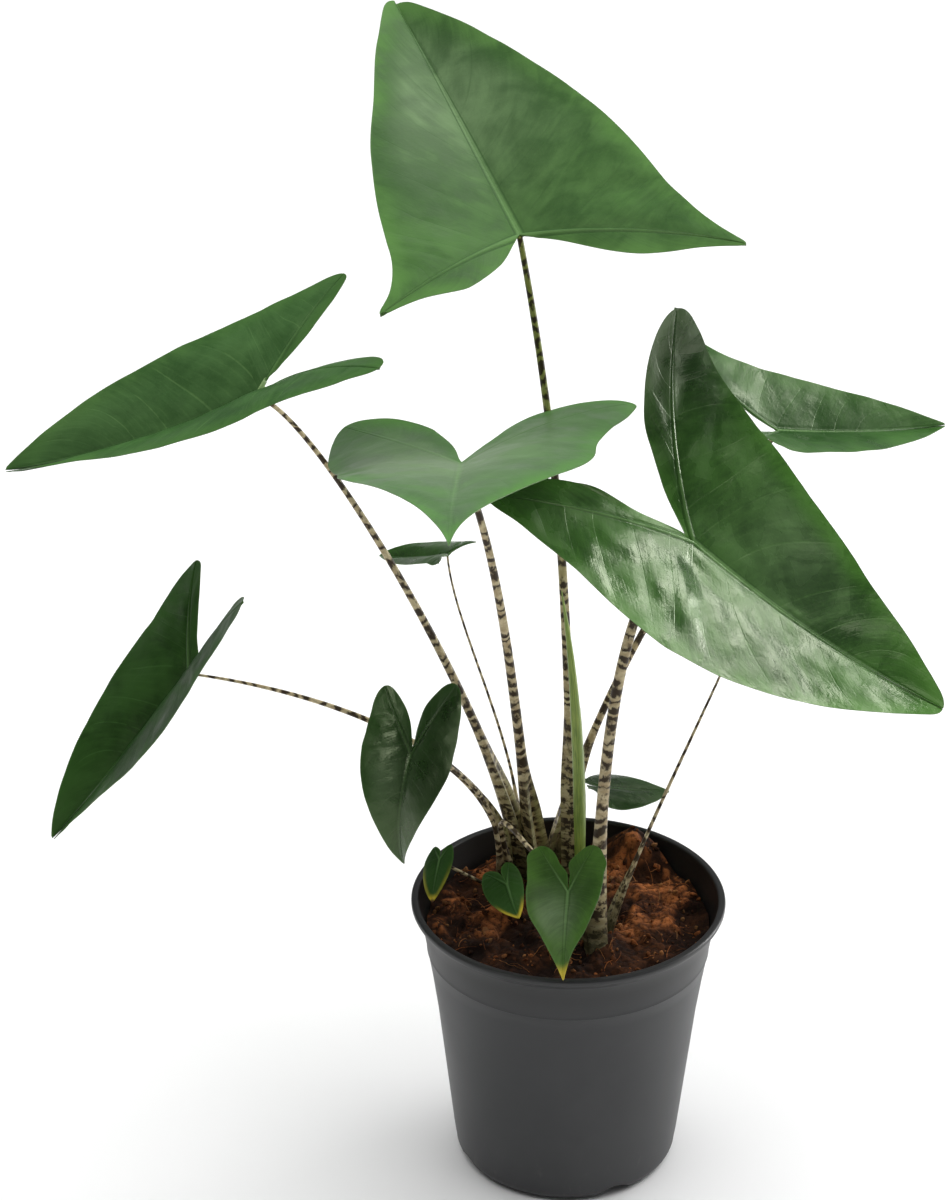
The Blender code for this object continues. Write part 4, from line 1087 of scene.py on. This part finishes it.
# Radius and height from the floor inside, over the rolled lip, down the wall and under the foot
def potProfile():
    top, rim, wall, edge = pot["height"], pot["rim"], pot["wall"], pot["edge"]
    lip, step = rim - pot["rimWidth"], (wallRadius(pot["step"]), pot["step"])
    inside = [(radius, pot["floor"]) for radius in pot["floorRings"]]
    inside += [pot["floorCorner"], (wallRadius(0.014) - wall - edge, 0.0135)]
    inside += wallRings(pot["inside"], wall)
    rolled = beside((lip, top), (-0.7, 4.6), (-0.2, 2.5))
    for start, centre, radius, steps in ((180, lip + pot["lipInner"], pot["lipInner"], 5),
                                         (90, rim - pot["lipOuter"], pot["lipOuter"], 6)):
        rolled += arc((centre, top - radius), radius, start, start - 90, steps)
    rolled += beside((rim, top), (-0.1, 3.0), (-0.8, 4.6), (-2.0, 6.0))
    outside = wallRings(pot["aboveStep"])
    outside += beside(step, (0.4, -1.3), (0.5, -0.8), (0.5, -0.3), (0.0, 0.3))
    outside += wallRings(pot["belowStep"])
    corner = arc((pot["base"] - pot["corner"], pot["corner"]), pot["corner"], 0, -90, 9)
    inner, under, boss = pot["footInner"], pot["underside"], pot["boss"]
    foot = [(inner + 2 * edge, 0.0), (inner, 0.6 * mm), (inner - 1 * mm, under)]
    foot += [(boss + 1 * mm, under), (boss, 0.6 * mm), (boss - 2 * edge, 0.0), (0.006, 0.0)]
    return inside + rolled + outside + corner + foot


def turnPot():
    profile = potProfile()
    radius, height = profile[0]
    deselectAll()
    bpy.ops.mesh.primitive_circle_add(
        vertices=pot["around"], radius=radius, fill_type="NGON", location=(0, 0, height)
    )
    piece = bpy.context.object
    piece.name = piece.data.name = "nursery_pot"
    bpy.ops.object.transform_apply(location=True)
    startEditing(piece)
    bpy.ops.mesh.select_mode(type="EDGE")
    bpy.ops.mesh.region_to_loop()
    for nextRadius, nextHeight in profile[1:]:
        bpy.ops.mesh.extrude_edges_move(TRANSFORM_OT_translate={"value": (0, 0, nextHeight - height)})
        growth = nextRadius / radius
        bpy.ops.transform.resize(value=(growth, growth, 1.0), center_override=(0, 0, nextHeight))
        radius, height = nextRadius, nextHeight
    bpy.ops.mesh.edge_face_add()
    bpy.ops.mesh.select_all(action="SELECT")
    bpy.ops.mesh.normals_make_consistent(inside=False)
    stopEditing()
    return piece


def addCutter(angle, away, height, rotation=(0, 0, 0), **cylinder):
    deselectAll()
    bpy.ops.mesh.primitive_cylinder_add(
        location=(away * math.cos(angle), away * math.sin(angle), height), rotation=rotation, **cylinder
    )
    return bpy.context.object


# Each notch is the top of a wide flat arch, cut by a cylinder that leans with the foot
def cutPot(piece):
    width, height, slope = pot["notchWidth"], pot["notchHeight"], math.radians(pot["notchSlope"])
    arch, inset = (width**2 / 4 + height**2) / (2 * height), pot["notchInset"]
    away = pot["base"] - inset + arch * math.sin(slope)
    low = height - inset * math.tan(slope) - arch * math.cos(slope)
    cutters = []
    for number in range(pot["notches"]):
        angle = math.radians(pot["notchAngle"] + 360 / pot["notches"] * number)
        turn = (0, math.pi / 2 - slope, angle)
        cutters.append(addCutter(angle, away, low, turn, vertices=96, radius=arch, depth=0.022))
    for number in range(pot["drains"]):
        angle, radius = fullTurn * number / pot["drains"], pot["drainRadius"]
        cutters.append(addCutter(angle, pot["drainCircle"], 0, vertices=40, radius=radius, depth=0.03))
    for cutter in cutters:
        cut = piece.modifiers.new("Cut", "BOOLEAN")
        cut.operation = "DIFFERENCE"
        cut.object = cutter
    applyModifiers(piece)
    for cutter in cutters:
        bpy.data.objects.remove(cutter, do_unlink=True)


def potFinish():
    finish, tree, shader = startFinish("pot_moulded", pot["roughness"])
    place = objectPlace(tree)
    height = addNode("SeparateXYZ", {0: place}, 2)
    cloudy = speckle(place, pot["clouds"], 4.0, 0.6)
    scuffs = speckle(stretched(place, (1.0, 1.0, 0.35)), pot["scuffs"], 4.0, 0.7)
    colour = paint(
        pot["charcoal"],
        (ramp(cloudy, 0.35, 0.7), pot["worn"]),
        (times(ramp(scuffs, 0.56, 0.72, 0.0, 0.35), ramp(height, pot["dustUpTo"], 0.0)), pot["dust"]),
        (ramp(scuffs, 0.68, 0.78, 0.0, 0.10), pot["dust"]),
        (ramp(height, *pot["shadowFrom"], 0.0, 0.70), pot["shadowed"]),
    )
    rough = ramp(cloudy, 0.3, 0.75, pot["roughness"] - 0.04, pot["roughness"] + 0.08)
    wire(shader, Base_Color=colour, Roughness=rough)
    addBump(shader, speckle(place, pot["grain"], 2.0), 0.12, 0.15 * mm)
    return finish


potPiece = turnPot()
cutPot(potPiece)
potPiece.data.materials.append(potFinish())
finishPiece(potPiece, ["pot"], 35)
print("pot made")


# Soil

soil = {
    "height": 0.181, "lump": 4.5 * mm, "lumpSize": 0.021, "radius": 0.0981, "edgeDrop": 3 * mm,
    "clearance": 0.4 * mm, "mound": (0.047, 0.077), "moundHeight": 25 * mm, "moundWidth": 0.020,
    "heap": 5 * mm, "heapWidth": 0.013, "rings": 100, "around": 380,
    "skirt": (0.168, 0.160, 0.140, 0.115), "bottom": 6.6 * mm, "bottomRadius": 0.0675,
    "clod": 2.1 * mm, "clodSize": 0.0105, "grain": 1.0 * mm, "pit": 5.5 * mm, "pitSize": 0.024,
    # The next line sets where painted shade darkens the soil towards the front, and how its edge wanders
    "frontShadeFrom": (-0.004, 0.036), "drift": 0.018, "driftSize": 0.03,
    "crumbs": 520, "crumbReach": 0.094, "crumbSize": (0.7 * mm, 2.1 * mm),
    "crumbKinds": 4, "fibres": 130, "fibreReach": 0.089, "fibreLength": (0.006, 0.022),
    "fibreThickness": (0.12, 0.26), "patches": 34, "grains": 420, "threads": 900,
    "rust": (0.390, 0.130, 0.040), "umber": (0.050, 0.017, 0.008), "black": (0.009, 0.005, 0.004),
    "straw": (0.30, 0.15, 0.06),
}
stemFeet = [(leaf["base"][0] * mm, leaf["base"][1] * mm) for leaf in leaves.values()]


def soilTop(x, y):
    size = soil["lumpSize"]
    lump = noise.noise(Vector((x, y, 0.013)) / size)
    fine = noise.noise(Vector((x, y, 0.041)) / (size * 0.45))
    mound = soil["moundHeight"] * bell(math.dist((x, y), soil["mound"]), soil["moundWidth"])
    heap = soil["heap"] * bell(min(math.dist((x, y), foot) for foot in stemFeet), soil["heapWidth"])
    edge = soil["edgeDrop"] * (math.hypot(x, y) / soil["radius"]) ** 8
    return soil["height"] + soil["lump"] * (lump + 0.4 * fine) + mound + heap - edge


# The clods, hollows and grains on top of the lumps, and how deep in a hollow a spot lies, which sets how
# much painted shade it gets
def soilDetail(x, y):
    spot = Vector((x, y, 0.0))
    pits = noise.noise(spot / soil["pitSize"] + Vector((3.1, 7.7, 1.3)))
    pit = min(1.0, max(0.0, (-pits - 0.06) / 0.35))
    shift = Vector((0, 0, noise.noise(spot / 0.008) * 0.4))
    near, far = noise.voronoi(spot / soil["clodSize"] + shift)[0][:2]
    clod = min(1.0, (far - near) * 1.6)
    grains = ((1.0, 0.0052), (0.6, 0.0024), (0.35, 0.0012))
    rough = sum(share * noise.noise(spot / size) for share, size in grains)
    height = soil["clod"] * (clod - 0.6) + soil["grain"] * rough - soil["pit"] * pit
    return height, max(pit, 0.8 * (1 - clod) ** 2)


def makeSoil():
    rings, around = soil["rings"], soil["around"]
    gap = pot["wall"] + soil["clearance"]
    edge = wallRadius(soil["height"] - soil["edgeDrop"] - soil["lump"]) - gap
    angle = np.linspace(0.0, fullTurn, around + 1)
    reach = edge * np.linspace(0.0, 1.0, rings + 1) ** 0.85
    skirt = wallRings(soil["skirt"], gap) + [(wallRadius(0.020) - gap + pot["edge"], 0.0160)]
    skirt += [(radius, soil["bottom"]) for radius in (soil["bottomRadius"], 0.0)]
    size = (rings + 1 + len(skirt), around + 1)
    points, hollow, tone = np.zeros((*size, 3)), np.ones(size), np.full(size, 0.5)
    for ring, radius in enumerate(reach):
        outer = ring / rings
        for column, turn in enumerate(angle):
            x, y = radius * math.cos(turn), radius * math.sin(turn)
            detail, depth = soilDetail(x, y)
            drift = soil["drift"] * noise.noise(Vector((x, y, 0.5)) / soil["driftSize"])
            # Painted shade: darker in the hollows and, all round, towards the pot's rim
            hollow[ring, column] = depth + 0.55 * soften(0.80, 1.0, outer)
            # Painted shade: the soil grows darker towards the front
            tone[ring, column] -= 0.5 * soften(*soil["frontShadeFrom"], -y - drift)
            points[ring, column] = (x, y, soilTop(x, y) + detail * (1 - 0.5 * outer**12))
    for ring, (radius, height) in enumerate(skirt, rings + 1):
        x, y = radius * np.cos(angle), radius * np.sin(angle)
        points[ring] = np.column_stack([x, y, np.full(around + 1, height)])
    points[0] = points[0, 0]
    points[:, -1] = points[:, 0]
    piece, row, column = layGrid("coir_soil", points)
    setValues(piece, "hollow", hollow[row, column])
    setValues(piece, "tone", tone[row, column])
    weld(piece, 1e-6)
    return piece


def soilFinish():
    finish, tree, shader = startFinish("coir_crumbly", 0.92, 0.2)
    place, tone = objectPlace(tree), stored(tree, "tone")
    patches = speckle(place, soil["patches"], 3.0, 0.6)
    grains = speckle(place, soil["grains"], 4.0, 0.7)
    threads = speckle(stretched(place, (1.0, 0.3, 1.0)), soil["threads"], 3.0, 0.6, 0.8)
    colour = paint(
        soil["umber"],
        (ramp(patches, 0.38, 0.62), soil["rust"]),
        (ramp(grains, 0.52, 0.68, 0.0, 0.55), soil["rust"]),
        (ramp(threads, 0.60, 0.74, 0.0, 0.5), soil["straw"]),
        (ramp(grains, 0.50, 0.36, 0.0, 0.7), soil["black"]),
        # painted shade in the hollows and by the rim
        (ramp(stored(tree, "hollow"), 0.25, 0.95, 0.0, 0.92), soil["black"]),
        (ramp(tone, 0.55, 1.0, 0.0, 0.6), soil["straw"]),
        # a low tone darkens to black: painted shade at the front of the soil, and random tone on crumbs
        # and fibres
        (ramp(tone, 0.45, 0.0, 0.0, 0.86), soil["black"]),
    )
    wire(shader, Base_Color=colour)
    addBump(shader, plus(grains, threads), 0.8, 1.0 * mm)
    return finish


# One knobbly lump from a ball primitive; copies of a few of them are strewn over the soil
def lumpShape(seed):
    deselectAll()
    bpy.ops.mesh.primitive_ico_sphere_add(subdivisions=2, radius=1.0)
    lump = bpy.context.object
    places = getPlaces(lump)
    for index, spot in enumerate(places):
        swell = 1 + 0.45 * noise.noise(Vector(spot) * 1.3 + Vector((seed, 0, 0)))
        places[index] = spot * swell * (1.0, 0.8, 0.6)
    setPlaces(lump, places)
    return lump


def spotOnSoil(reach):
    away, turn = reach * math.sqrt(dice.random()), dice.uniform(0, fullTurn)
    return away * math.cos(turn), away * math.sin(turn)


def strewCrumbs(finish):
    shapes = [lumpShape(kind * 5.3) for kind in range(soil["crumbKinds"])]
    smallest, spread = soil["crumbSize"]
    copies = []
    for number in range(soil["crumbs"]):
        copy = shapes[number % len(shapes)].copy()
        copy.data = copy.data.copy()
        bpy.context.collection.objects.link(copy)
        x, y = spotOnSoil(soil["crumbReach"])
        size = smallest + spread * dice.random() ** 2.2
        detail, hollow = soilDetail(x, y)
        copy.location = (x, y, soilTop(x, y) + detail + size * 0.25)
        copy.rotation_euler = [dice.uniform(0, 6.28) for _ in range(3)]
        copy.scale = [size * dice.uniform(0.8, 1.3) for _ in range(3)]
        # a crumb takes part of the painted shade of the hollow it lies in
        fillValues(copy, tone=dice.random(), hollow=hollow * 0.7)
        copies.append(copy)
    for shape in shapes:
        bpy.data.objects.remove(shape, do_unlink=True)
    pick(*copies)
    bpy.ops.object.transform_apply(location=True, rotation=True, scale=True)
    crumbs = joinPieces("coir_crumbs", copies)
    crumbs.data.materials.append(finish)
    finishPiece(crumbs, degrees=70)


def roundShape(angle, share):
    return np.ones(len(angle))


def strewFibres(finish):
    steps, limit = 8, soil["crumbReach"]
    strands = []
    for _ in range(soil["fibres"]):
        x, y = spotOnSoil(soil["fibreReach"])
        heading, length = dice.uniform(0, fullTurn), dice.uniform(*soil["fibreLength"])
        bend, route = dice.uniform(-1.6, 1.6), []
        for step in range(steps + 1):
            lift = 0.3 * mm + 1.4 * mm * math.sin(math.pi * step / steps) * dice.uniform(0.5, 1.0)
            route.append((x, y, soilTop(x, y) + soilDetail(x, y)[0] * 0.5 + lift))
            heading += bend / steps
            x += length / steps * math.cos(heading)
            y += length / steps * math.sin(heading)
            over = max(1.0, math.hypot(x, y) / limit)
            x, y = x / over, y / over
        radii = np.full(steps + 1, dice.uniform(*soil["fibreThickness"]) * mm)
        strand = wrapTube("strand", np.array(route), radii, 5, (0.1, 0.2, 1.0), roundShape)[0]
        fillValues(strand, tone=dice.uniform(0.35, 1.0), hollow=0.0)
        strands.append(strand)
    fibres = joinPieces("coir_fibres", strands)
    weld(fibres, 2e-6)
    fibres.data.materials.append(finish)
    finishPiece(fibres, degrees=70)


coir = soilFinish()
soilPiece = makeSoil()
soilPiece.data.materials.append(coir)
finishPiece(soilPiece, ["soil"], 75)
strewCrumbs(coir)
strewFibres(coir)
print("soil made")


# Rhizomes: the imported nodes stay, with bark on them

rhizome = {"rings": 220, "dark": (0.050, 0.030, 0.015), "pale": (0.20, 0.13, 0.07)}


def rhizomeFinish():
    finish, tree, shader = startFinish("rhizome_bark", 0.8)
    rings = speckle(objectPlace(tree), rhizome["rings"], 4.0, 0.65)
    wire(shader, Base_Color=paint(rhizome["dark"], (ramp(rings, 0.35, 0.7), rhizome["pale"])))
    addBump(shader, rings, 0.6, 0.8 * mm)
    return finish


bark = rhizomeFinish()
for name in ("rhizome_left", "rhizome_right"):
    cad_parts[name].material_slots[0].material = bark


# Floor, lights and camera

studio = {
    "floor": (0.86, 0.86, 0.86), "floorShade": (0.8514, 0.8514, 0.8514), "floorRadius": 3.4,
    "glow": 0.12, "aim": (0.0, 0.0, 0.45),
    # azimuth from +Y towards +X, elevation, distance, width, height, brightness, what it lights
    "lights": {
        "ceiling": (0, 76, 3.2, 7.0, 6.5, 2.2, "matt"),
        "window": (66, 31, 2.2, 1.5, 1.1, 3.4, "matt"),
        "windowGlare": (64, 26, 2.3, 0.62, 0.48, 10.0, "gloss"),
        "backWindow": (18, 40, 2.4, 1.1, 0.8, 1.0, "both"),
        "skylight": (124, 42, 2.2, 1.2, 0.6, 2.0, "both"),
        "horizon": (-4, 5, 3.0, 2.4, 1.0, 0.36, "gloss"),
        "frontWindow": (-137, 28, 2.4, 0.6, 0.6, 5.5, "gloss"),
        "overhead": (-118, 68, 2.4, 1.1, 1.0, 1.8, "gloss"),
        "sideCard": (68, -3, 2.4, 0.8, 1.5, 15.0, "gloss"),
        "leftCard": (-66, -3, 2.4, 0.4, 1.5, 2.0, "gloss"),
    },
    "camera": (-0.063, -2.185, 1.547), "tilt": 62.7, "lens": 115.0, "sensor": 36.0,
}


def makeFloor():
    deselectAll()
    bpy.ops.mesh.primitive_circle_add(vertices=128, radius=studio["floorRadius"], fill_type="NGON")
    floor = bpy.context.object
    floor.name = "floor"
    finish, tree, shader = startFinish("floor_paper", 0.9, 0.1)
    shade = speckle(objectPlace(tree), 3.0, 2.0)
    wire(shader, Base_Color=paint(studio["floor"], (shade, studio["floorShade"])))
    floor.data.materials.append(finish)


def addToScene(name, data):
    holder = bpy.data.objects.new(name, data)
    bpy.context.scene.collection.objects.link(holder)
    return holder


def addLight(name, azimuth, elevation, distance, width, height, brightness, lit):
    azimuth, elevation = math.radians(azimuth), math.radians(elevation)
    level = math.cos(elevation)
    away = Vector((math.sin(azimuth) * level, math.cos(azimuth) * level, math.sin(elevation)))
    lamp = bpy.data.lights.new(name, "AREA")
    lamp.shape, lamp.size, lamp.size_y = "RECTANGLE", width, height
    lamp.energy = brightness * math.pi * width * height
    holder = addToScene(name, lamp)
    holder.location = Vector(studio["aim"]) + away * distance
    holder.rotation_euler = away.to_track_quat("Z", "Y").to_euler()
    holder.visible_camera = False
    holder.visible_glossy = lit != "matt"
    holder.visible_diffuse = lit != "gloss"


# Plain white behind the floor; the room's own glow on the plant is dim
def makeWorld():
    world = bpy.data.worlds.new("studio")
    world.use_nodes = True
    bpy.context.scene.world = world
    tree = world.node_tree
    dim = tree.nodes["Background"]
    white = (1.0, 1.0, 1.0, 1.0)
    dim.inputs["Strength"].default_value = studio["glow"]
    dim.inputs["Color"].default_value = white
    bright = addNode("Background", {0: white, 1: 1.0}, 0, tree)
    seen = addNode("LightPath", {}, 0, tree)
    sky = addNode("MixShader", {0: seen, 1: dim.outputs[0], 2: bright})
    tree.links.new(sky, tree.nodes["World Output"].inputs[0])
    bpy.context.scene.view_settings.view_transform = "Standard"


def makeCamera():
    lens = bpy.data.cameras.new("camera")
    lens.lens, lens.sensor_width = studio["lens"], studio["sensor"]
    camera = addToScene("camera", lens)
    camera.location = studio["camera"]
    camera.rotation_euler = (math.radians(studio["tilt"]), 0.0, 0.0)
    bpy.context.scene.camera = camera


makeFloor()
for name, light in studio["lights"].items():
    addLight(name, *light)
makeWorld()
makeCamera()
print("studio set")
